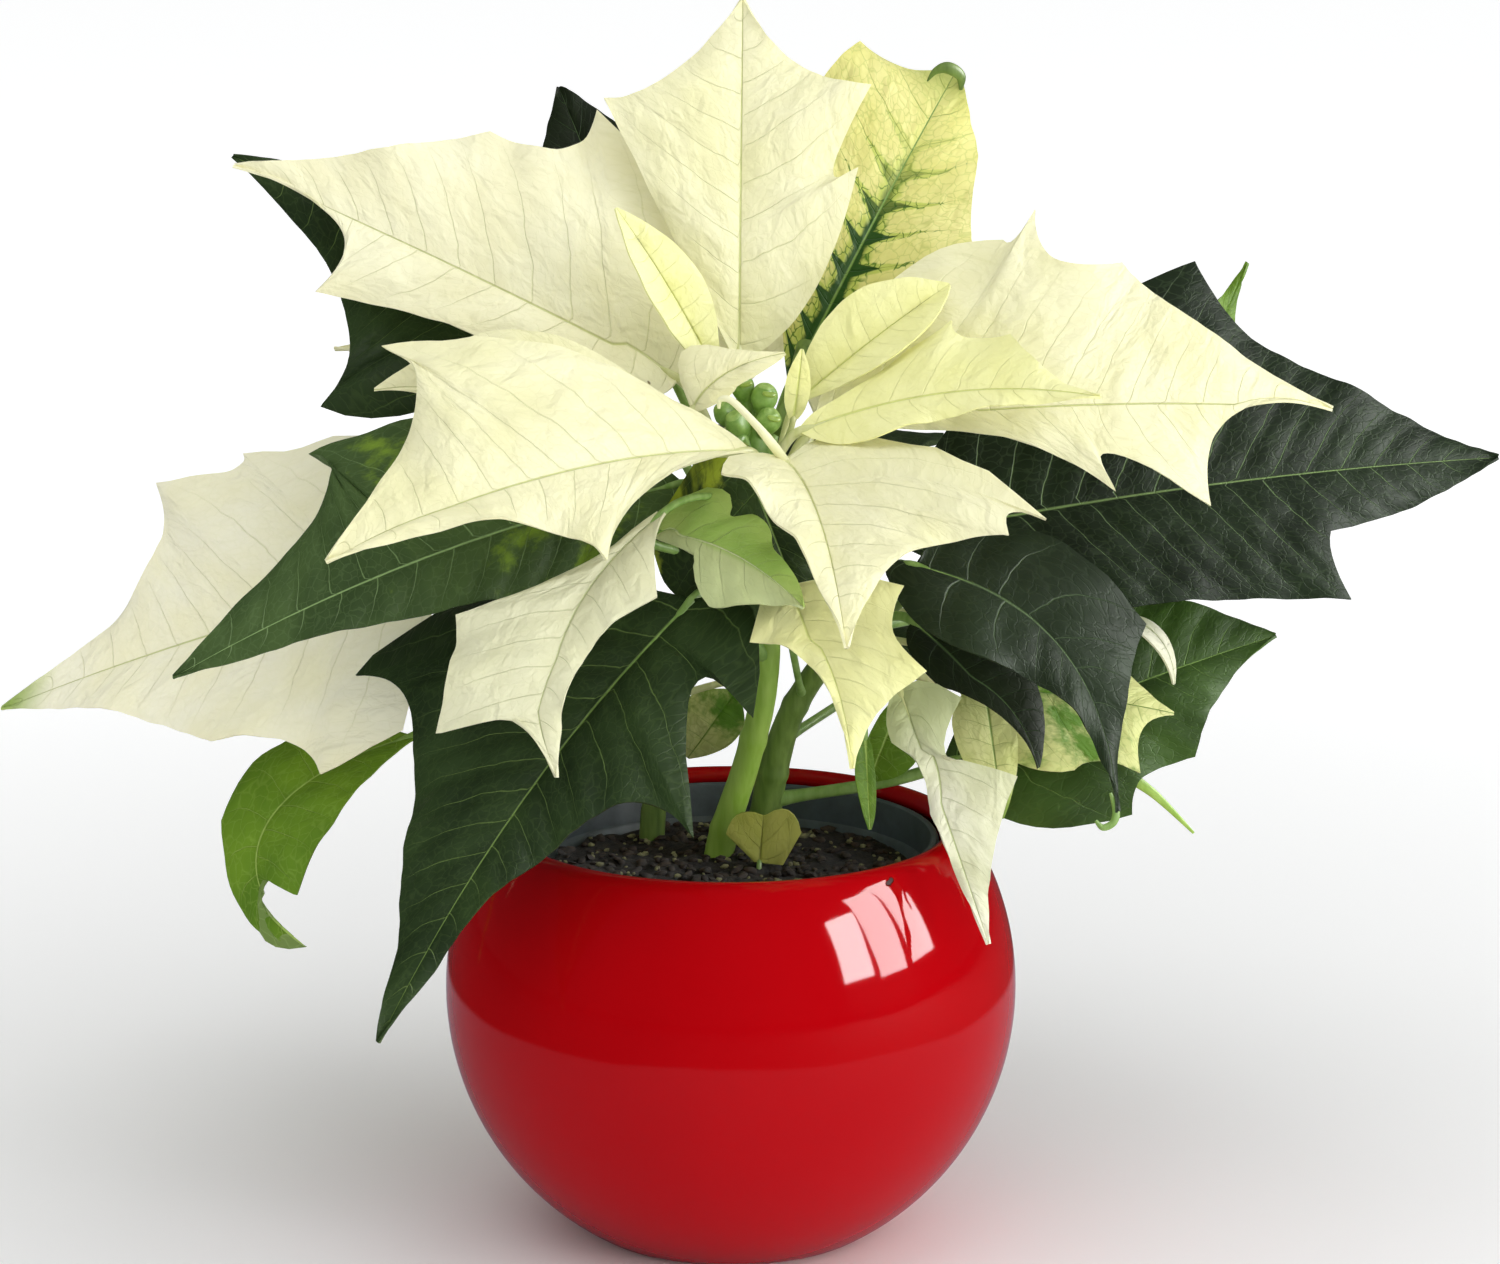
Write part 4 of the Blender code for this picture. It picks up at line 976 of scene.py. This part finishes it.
leaf("bract_right_front", "yellow", "main", 187, (17, -8, 200), (86, -28, 211), (0, -0.75, 0.65),
     [(15, 11), (37, 23), (40, 19), (51, 19), (60, 8)], [(13, 6), (27, 4), (50, 1)],
     arch=3, ruffle=1.0, rib=(38, -4), lift=(0.6, -0.3, -0.4))
leaf("bract_left", "cream", "main", 185, (4, -14, 196), (-91, -58, 178), (0, -0.75, 0.66),
     [(32, 9), (50, 26), (66, 9)], [(29, 29), (75, 48), (75, 27)],
     arch=12, ruffle=1.5, lift=(-0.2, -0.6, -0.4))
leaf("bract_upper_left", "specked", "main", 180, (-13, 15, 209), (-119, 16, 260), (0.1, -0.93, 0.35),
     [(9, 10), (35, 14), (59, 14), (87, 20), (89, 2)], [(10, 31), (45, 51), (48, 38), (66, 34), (93, 15)],
     arch=5, ruffle=1.5, lift=(-0.6, 0.4, -0.6))
leaf("bract_right", "cream", "main", 178, (20, 6, 198), (144, 4, 203), (0.05, -0.9, 0.4),
     [(20, 34), (47, 42), (50, 42), (55, 49), (59, 36), (75, 35), (93, 19)],
     [(41, 6), (71, 21), (70, 12), (93, 25), (99, 3)],
     arch=13, ruffle=1.5, lift=(0.3, 0.3, -0.4))
leaf("bract_green_veined", "veined", "main", 174, (15, 24, 207), (56, 54, 280), (-0.1, -1, 0.3),
     [(35, 22), (60, 30), (72, 28), (85, 25), (84, 12)], [(22, 19), (50, 24), (57, 20), (71, 15), (80, 8)],
     arch=4, ruffle=1.2, lift=(0, 0.6, -0.4), stalk=STALK_GREEN)
leaf("bract_front", "cream", "main", 182, (13, -15, 194), (26, -80, 163), (0.2, -0.65, 0.75),
     [(0, 26), (47, 50), (44, 42), (51, 40), (51, 17)], [(4, 13), (21, 21), (44, 9)],
     arch=8, ruffle=1.2, fold=12, lift=(0.4, -0.6, 0))
leaf("bract_left_under", "cream", "main", 172, (-14, -2, 203), (-84, -10, 210), (0, -0.93, 0.35),
     [(24, 9), (46, 8), (58, 1)], [(25, 15), (47, 15), (59, 9)], arch=3)
leaf("bract_front_left", "pale", "main", 180, (-16, -30, 184), (-39, -66, 130), (-0.2, -0.9, 0.4),
     [(10, 2.5), (22, 8), (44, -3)], [(24, 16), (40, 35), (52, 32), (67, 31), (58, 17)], quilt=0.35,
     arch=6, ruffle=1.0, rib=(38, 9), lift=(-0.3, -0.6, 0.4), petiole=1.0, stalk=STALK_GREEN)
leaf("bract_front_low", "yellow", "side", 131, (14, -32, 167), (28, -62, 131), (0, -0.9, 0.45),
     [(2, 14), (9, 25), (20, 19), (33, 23), (39, 9)], [(1, 7), (11, 13), (25, 1)],
     arch=4, ruffle=0.8, lift=(0, -1, -0.2), petiole=1.0, stalk=STALK_GREEN)
print("main head:", len(LEAVES), "bracts")

# %% [markdown]
# ## Green leaves of the main stem
#
# The green leaves quilt more strongly between their side veins than the bracts do. One more dark blade,
# leaf_mid_crown, closes the view through the middle of the head. It stands for no solid of the CAD model.
# %% Leaves of the main stem
leaf("leaf_curled", "curled", "main", 166, (-18, -18, 177), (17, -46, 165), (0, -0.8, 0.6),
     [(-1, 9), (5, 16), (10, 17), (14, 14), (16, 11.5), (20, 13), (24, 14), (28, 12), (31, 9), (36, 7),
      (41, 5)],
     [(6, 1), (16, 2), (21, 8), (27, 11), (32, 9), (37, 5), (42, 2)],
     arch=3, quilt=0.4, ruffle=0.8, rib=(22, -3), lift=(0, -0.5, 0))
leaf("leaf_mid", "mottled", "main", 174, (7, -7, 179), (20, -9, 156), (0, -1, 0.1),
     [(0, 9), (6, 17), (16, 9)], [(2, 7), (10, 12), (20, 7)], arch=2, quilt=0.5)
leaf("leaf_mid_crown", "patched", "main", 180, (2, -9, 197), (19, -12, 153), (0, -1, 0.1),
     [(10, 6), (24, 9), (38, 6)], [(1, 12), (12, 27), (25, 28), (36, 22), (44, 9)], arch=1, quilt=0.4,
     extra=True)
leaf("leaf_left", "mottled", "main", 160, (-12, -2, 186), (-131, -26, 144), (0, -0.8, 0.6),
     [(7, 10), (28, 21), (75, 12)], [(30, 28), (80, 38), (83, 22)],
     arch=12, ruffle=1.2, quilt=0.55, lift=(-0.6, 0, 0))
leaf("leaf_upper_left", "dark", "main", 156, (-46, 36, 219), (-121, 30, 261), (0.1, -0.9, 0.4),
     [(17, 34), (40, 46), (47, 20)], [(28, 13), (52, 12), (68, 7)], arch=5, ruffle=1.0, quilt=0.5)
leaf("leaf_right", "back", "main", 159, (40, 22, 168), (190, 34, 186), (0, -0.85, 0.52),
     [(33, 38), (85, 59), (91, 44), (101, 33), (127, 15)],
     [(26, 19), (54, 29), (78, 30), (107, 34), (104, 24), (105, 16), (130, 10)],
     arch=8, ruffle=1.5, petiole=1.6, quilt=0.35)
leaf("leaf_front_left", "dark", "main", 142, (-9, -24, 162), (-80, -72, 69), (-0.4, -0.7, 0.5),
     [(-4, 16), (20, 37), (19, 17), (51, 43), (49, 30), (57, 20), (86, 8)],
     [(21, 44), (56, 62), (54, 48), (61, 37), (94, 15)],
     arch=9, ruffle=1.5, petiole=1.6, quilt=0.6)
print("leaves and bracts so far:", len(LEAVES))

# %% [markdown]
# ## The right shoot
#
# Low on the right a second shoot carries drooping dark leaves and small lime bracts.
# %% Leaves and bracts of the right shoot
leaf("leaf_right_drooping", "grey", "side", 155, (44, -12, 168), (90, -44, 116), (0.25, -0.85, 0.45),
     [(4, 25), (45, 33), (58, 16)], [(-6, 4), (4, 9), (22, 9), (36, 1), (57, -5)],
     arch=8, rib=(38, -12), ruffle=1.4, quilt=0.4)
leaf("leaf_right_dark", "black", "side", 151, (44, -6, 153), (73, -26, 122), (0.3, -0.8, 0.5),
     [(25, 13)], [(6, 7), (17, 8), (34, 0)], arch=4, quilt=0.5)
leaf("leaf_low_right", "green", "side", 102, (53, 14, 113), (135, 24, 143), (0, -0.8, 0.6),
     [(39, 29), (62, 20), (76, 12)], [(11, 22), (37, 31), (44, 23), (57, 23), (70, 9)],
     arch=4, ruffle=1.0, quilt=0.5, petiole=1.7)
leaf("bract_hanging", "green_foot", "side", 143, (40, -20, 140), (60, -54, 87), (0, -0.9, 0.4),
     [(1, 7), (8, 13), (22, 5), (31, 19), (48, 7)], [(6, 5), (13, 6), (22, 2), (33, 3), (48, 2)],
     arch=4, ruffle=0.8)
leaf("bract_lime", "lime", "side", 145, (56, 8, 134), (108, 4, 128), (0, -0.8, 0.6),
     [(22, 16), (35, 14), (43, 6)], [(14, 18), (30, 19), (36, 16), (46, 17), (45, 6)], arch=3)
leaf("bract_lime_slim", "slim", "side", 148, (61, -6, 138), (65, -20, 108), (0, -0.9, 0.4),
     [(15, 6)], [(11, 9)], arch=2, petiole=1.0)
leaf("leaf_sliver", "bright", "side", 138, (32, -24, 129), (33, -30, 108), (0.3, -0.9, 0.2),
     [(13, 2)], [(9, 3)], petiole=0.8)
leaf("bract_hook", "green_foot", "side", 153, (97, 10, 151), (108, 6, 135), (0.6, -0.5, 0.5),
     [(7, 3)], [(7, 4)], arch=4, petiole=0.9, slot="bract_lime")
leaf("leaf_small_right", "bright", "side", 137, (42, 12, 130), (34, 8, 110), (0, -0.9, 0.4),
     [(12, 9)], [(11, 4)], arch=2, petiole=1.0)

# %% [markdown]
# ## The left shoot and the far side
#
# The far-left bract keeps a green tip. Behind, where the photograph doesn't show, the plant goes on in
# the same way with leaves below and bracts above. Last comes a small dry leaf that stands in the peat.
# %% Left shoot
leaf("bract_far_left", "green_tip", "left", 156, (-72, 26, 159), (-183, 34, 122), (0, -0.75, 0.65),
     [(7, 20), (16, 41), (27, 44), (38, 46), (45, 35), (64, 29), (90, 11)],
     [(3, 34), (20, 46), (31, 46), (44, 49), (48, 44), (67, 47), (77, 19)],
     arch=4, ruffle=1.5)
leaf("leaf_low_left", "bright", "left", 138, (-79, 22, 118), (-104, -6, 72), (-0.5, -0.8, 0.3),
     [(22, -3), (49, -6), (46, -15), (53, -17), (61, -12)], [(10, 28), (38, 35), (57, 20)],
     arch=8, rib=(38, 22), lift=(0, 0, -0.6), quilt=0.5)
leaf("bract_mottled", "lime", "left", 124, (1, 36, 126), (-11, 40, 108), (0, -0.95, 0.1),
     [(9, 7)], [(9, 9)], arch=2, petiole=1.0)

# %% Far side and the dry leaf
leaf("leaf_back_top", "black", "main", 177, (-18, 40, 214), (-43, 62, 275), (0, -0.95, 0.3),
     [(22, 15), (40, 17), (56, 9)], [(22, 15), (44, 15), (60, 7)],
     arch=5, ruffle=1.0, lift=(0, 0.8, -0.4), quilt=0.5)
leaf("leaf_back_right", "bright", "side", 147, (98, 62, 162), (132, 78, 229), (0.2, -0.9, 0.3),
     [(22, 15), (38, 18), (60, 5)], [(22, 14), (40, 16), (60, 4)], arch=5, ruffle=1.0, petiole=1.5,
     slot="leaf_green")
leaf("leaf_back_middle", "dark", "main", 139, (10, 50, 170), (20, 160, 160), (0, 0.1, 1),
     [(40, 34), (70, 42), (84, 18)], [(38, 34), (66, 40), (82, 18)], arch=14, ruffle=1.5, quilt=0.6)
leaf("leaf_back_left", "dark", "left", 146, (-70, 60, 168), (-140, 130, 140), (-0.1, 0.1, 1),
     [(34, 28), (60, 36), (74, 14)], [(32, 28), (56, 34), (72, 14)], arch=10, ruffle=1.2, quilt=0.6)
leaf("leaf_back_low", "dark", "side", 118, (40, 50, 128), (90, 130, 110), (0.1, 0.2, 1),
     [(32, 24), (54, 30), (68, 12)], [(30, 24), (52, 28), (66, 12)], arch=10, ruffle=1.2, quilt=0.6)
leaf("bract_back_middle", "cream", "main", 169, (4, 32, 206), (2, 112, 240), (0, -0.4, 0.9),
     [(30, 24), (54, 28), (62, 12)], [(28, 24), (48, 28), (60, 12)], arch=8, ruffle=1.2, lift=(0, 0.6, 0))
leaf("bract_back_left", "cream", "main", 162, (-12, 36, 194), (-101, 68, 208), (-0.1, -0.2, 1),
     [(30, 14), (54, 17), (66, 6)], [(30, 20), (54, 24), (66, 10)], arch=6, ruffle=1.2)
leaf("bract_back_right", "cream", "main", 164, (22, 30, 196), (62, 112, 214), (0.1, -0.2, 1),
     [(30, 24), (56, 28), (66, 12)], [(30, 22), (54, 28), (66, 12)], arch=8, ruffle=1.2)
leaf("leaf_fallen", "dry", None, 0, (7, -3, 92.6), (8, -2, 104), (0, -1, 0.2),
     [(0.5, 6.5), (6, 8.6), (11.5, 6)], [(0.5, 7), (8, 9.6), (13.5, 6)], arch=-1, petiole=0.7,
     foot=(7, -3, 84))
print("leaves and bracts:", len(LEAVES))

# %% [markdown]
# ## Cyathia
#
# The true flowers are small green cups called cyathia. Each is a ribbed egg with five lobes puckered over
# its mouth, and most carry a lip-like nectar gland on one side. A ball is pulled into that shape: ribs in
# five folds near the top, a dimple in the middle, and a flattened ball for the gland.
# %% Cyathia cluster
CYATHIA = (
    ((8, -5, 207), 3.2), ((2, -7, 201), 3.2), ((9, -8, 202), 3.0), ((-1, -4, 203), 2.8),
    ((3, -2, 209), 2.8), ((5, 1, 203), 2.8),
)
GLAND_SIZE = 1.7


def ball(bm, segments, rings):
    """A unit ball: its vertices and its faces."""
    verts = bmesh.ops.create_uvsphere(bm, u_segments=segments, v_segments=rings, radius=1.0)["verts"]
    return verts, {face for vert in verts for face in vert.link_faces}


def make_bud(bm, heart, middle, radius, with_gland):
    lean = (middle - heart).normalized()
    turn = UP.rotation_difference(lean)
    verts, faces = ball(bm, 40, 28)
    for vert in verts:
        level = vert.co.z
        high = max(level, 0.0)
        ribs = 1.0 + 0.06 * math.cos(5.0 * math.atan2(vert.co.y, vert.co.x)) * high * (1.0 - high) * 4.0
        vert.co.xy *= ribs
        dimple = 0.22 * math.exp(-((math.hypot(vert.co.x, vert.co.y) / 0.28) ** 2)) if level > 0 else 0.0
        vert.co.z = level * 1.3 - dimple
        vert.co.xy *= 1.0 + 0.25 * min(level, 0.0)
    for face in faces:
        face.material_index = 1 if face.calc_center_median().z > 0.98 else 0
    bmesh.ops.scale(bm, vec=(radius * MM,) * 3, verts=verts)
    place_verts(bm, verts, turn, middle)
    if not with_gland:
        return
    verts, faces = ball(bm, 20, 14)
    for vert in verts:
        droop = 0.25 * (1.0 - abs(vert.co.x)) if vert.co.z > 0 else 0.0
        vert.co.yz = vert.co.y * 0.55, vert.co.z * 0.5 - droop
    for face in faces:
        face.material_index = 2
    bmesh.ops.scale(bm, vec=(GLAND_SIZE * MM,) * 3, verts=verts)
    side = Vector((0.35, -0.9, 0.1)).normalized() * radius * 0.95
    place_verts(bm, verts, turn, middle + side + lean * radius * 0.45)


def make_cyathia():
    heart = STEMS["main"][0][-1] + UP * 2.6
    core = [heart - UP * 3, heart, heart + UP * 4, heart + Vector((0, -2, 10))]
    bm = tube(core, (3.4, 3.3, 3.6, 2.0), 6)
    for number, (centre, radius) in enumerate(CYATHIA):
        make_bud(bm, heart, Vector(centre), radius, number % 2 == 0)
        bm.from_mesh(new_mesh("bud_stalk", tube([heart + UP * 3, Vector(centre)], (1.4, 1.2), 3)))
    return add_piece("cyathia_cluster", bm, [BUD_GREEN, BUD_TIP, GLAND_LIME], ["cyathia"])


print("cyathia faces:", len(make_cyathia().data.polygons))

# %% [markdown]
# ## Tips, curls and roots
#
# Some ends are too thin for the blade grid: the flat stalk that bends over the cyathia into the front
# bract, the curl at the top of the green-veined bract, the green foot of that bract, the hooked tip of the
# drooping leaf, a thin leaf tip low on the right, and two dead roots on the peat. Each is a tapered tube
# that is pressed flat.
# %% Flattened tubes
BRACT_CREAM_SKIN = make_speckled("cream_bract_rib_skin", "#e9e9bd", "#f2f0c8", 6.0, 0.6, 0.05)


def strap(name, finish, points, radii, flat):
    """A tapered tube through points in millimetres, pressed flat towards the viewer."""
    bm, path = smooth_tube(line(*points), radii, 40, 4)
    for vert in bm.verts:
        spot = vert.co / MM
        near = min(path, key=lambda point: (point - spot).length_squared)
        vert.co.y = (near.y + (spot.y - near.y) * flat) * MM
    return add_piece(name, bm, [finish], [])


strap("bract_front_strap", BRACT_CREAM_SKIN,
      [(-2.6, -20, 207.2), (-2.2, -20.5, 209.4), (0.6, -21, 209), (6, -21, 203.6), (10, -19.5, 198.5),
       (13.4, -16, 193.4)],
      (0.35, 0.7, 0.85, 0.95, 1.2, 1.1), 0.6)
strap("veined_bract_curl", STEM_DARK,
      [(48.5, 50, 277.6), (50.5, 49, 280.2), (53.5, 48.5, 281), (56.6, 49, 279), (56.8, 50, 275.5)],
      (0.2, 0.9, 1.5, 1.3, 0.4), 0.5)
strap("veined_bract_foot", STEM_DARK,
      [(18.5, 20, 216), (16.8, 13, 209.5), (14.5, 8, 203.5), (12, 4, 197.5)], (2.6, 2.9, 2.7, 2.5), 0.5)
strap("drooping_leaf_hook", STALK_GREEN,
      [(88.6, -43.6, 120.5), (89.9, -44, 116.4), (89.3, -44.4, 113.6), (86.9, -44.4, 112.4),
       (85.2, -44.2, 114)],
      (0.4, 0.9, 0.9, 0.8, 0.4), 0.7)
strap("thin_leaf_tip", STEM_BRIGHT,
      [(91, 7, 117.5), (95.4, 6, 113.4), (104, 5, 107.3), (113.6, 4, 97.9)], (1.6, 1.7, 1.1, 0.35), 0.3)
strap("pale_root_left", PERLITE,
      [(-33, -24, 91.6), (-32, -27, 92.6), (-34, -30, 92.2), (-33.2, -33, 91.4)],
      (0.2, 0.25, 0.25, 0.15), 1.0)
strap("pale_root_front", PERLITE,
      [(10.6, -34, 91), (11.8, -34.5, 93.5), (13.2, -34.8, 95.6)], (0.25, 0.3, 0.15), 1.0)
print("straps and roots made")

# %% [markdown]
# ## Camera, floor and light
#
# The camera stands where the photograph was taken, a metre off and a little above the plant, with a long
# lens. The floor is plain and pale. Only the camera sees it glow away from the pot, so that it turns white
# as the photograph's background does, and the glaze sees a darker floor. Light comes from a sky that is
# brighter at the right and from three soft panels: a low one at the right, one in front and one above.
# Three more panels stand at the right as a window. They only show as the mirrored panes in the glaze.
# %% Camera
camera_data = bpy.data.cameras.new("camera")
camera_data.sensor_width = 36.0
camera_data.lens = 97.06
camera = new_object("camera", camera_data)
camera.location = (4.7 * MM, -954.8 * MM, 358.4 * MM)
camera.rotation_euler = (math.radians(90.0 - 12.353), 0.0, 0.0)
bpy.context.scene.camera = camera
print("camera lens:", camera_data.lens, "mm")


# %% Floor
def make_floor():
    finish, tree, shader = new_finish("pale_floor", Roughness=0.9)
    place = add_node(tree, "TexCoord").outputs["Object"]
    reach = add_node(tree, "VectorMath", {0: place}, operation="LENGTH")
    table = add_node(tree, "MapRange", {0: reach, 1: 0.25, 2: 0.28}, **SMOOTH)
    near_and_far = {0: table, 6: colour("#a6a5b2"), 7: colour("#3a393c")}
    mirrored = add_node(tree, "Mix", near_and_far, data_type="RGBA")
    ray = add_node(tree, "LightPath").outputs
    tones = {0: ray["Is Glossy Ray"], 6: colour("#fbfbfa"), 7: mirrored}
    tone = add_node(tree, "Mix", tones, data_type="RGBA")
    glow = add_node(tree, "MapRange", {0: reach, 1: 0.15, 2: 0.9, 3: 0.0, 4: 0.4})
    seen = add_node(tree, "Math", {0: glow, 1: ray["Is Camera Ray"]}, operation="MULTIPLY")
    glowing = {"Emission Color": colour("#ffffff"), "Emission Strength": seen}
    set_inputs(tree, shader, {"Base Color": tone, **glowing})
    bm = bmesh.new()
    bmesh.ops.create_grid(bm, x_segments=2, y_segments=2, size=15.0)
    floor = new_object("floor", new_mesh("floor", bm))
    floor.data.materials.append(finish)


make_floor()
print("floor laid")


# %% Lights
def add_panel(name, place, aim, size, power, mirrored=False):
    """A soft rectangular light at a place in metres, or one that only the gloss mirrors."""
    data = bpy.data.lights.new(name, "AREA")
    data.shape = "RECTANGLE"
    data.size, data.size_y = size
    data.energy = power
    panel = new_object(name, data)
    panel.location = place
    panel.rotation_euler = (Vector(aim) - Vector(place)).to_track_quat("-Z", "Y").to_euler()
    panel.visible_glossy = mirrored
    panel.visible_diffuse = not mirrored


WINDOW = Vector((1.05, -0.42, 0.60))
ACROSS = Vector((0.27, 0.96, 0.0)).normalized()
for column, height in ((-1, 0.54), (0, 0.72), (1, 0.756)):
    place = WINDOW + ACROSS * 0.33 * column + UP * 0.03 * column
    add_panel(f"window_{column}", place, (0.0, 0.0, 0.06), (0.29, height), 15.0, mirrored=True)
add_panel("key_panel", (1.2, -0.6, 0.2), (0.0, 0.0, 0.08), (0.8, 0.4), 6.5)
add_panel("front_panel", (0.4, -2.0, 0.9), (0.0, 0.0, 0.15), (1.6, 1.6), 5.5)
add_panel("top_panel", (-0.35, -0.5, 2.1), (-0.03, 0.0, 0.15), (1.6, 1.6), 8.5)
print("panels:", len(bpy.data.lights))

# %% Sky
world = bpy.data.worlds.new("studio")
world.use_nodes = True
bpy.context.scene.world = world
sky = world.node_tree
heading = add_node(sky, "TexCoord").outputs["Generated"]
toward = add_node(sky, "VectorMath", {0: heading, 1: (0.75, -0.35, 0.4)}, operation="DOT_PRODUCT")
soft = add_node(sky, "MapRange", {0: toward, 1: -0.9, 2: 0.9, 3: 0.2, 4: 0.98})
ray = add_node(sky, "LightPath").outputs
dimmed = add_node(sky, "Mix", {0: ray["Is Glossy Ray"], 2: soft, 3: 0.06})
seen = add_node(sky, "Mix", {0: ray["Is Camera Ray"], 2: dimmed, 3: 0.95})
set_inputs(sky, sky.nodes["Background"], {"Color": colour("#f6f7f8"), "Strength": seen})
bpy.context.scene.view_settings.view_transform = "Standard"
print("sky set")
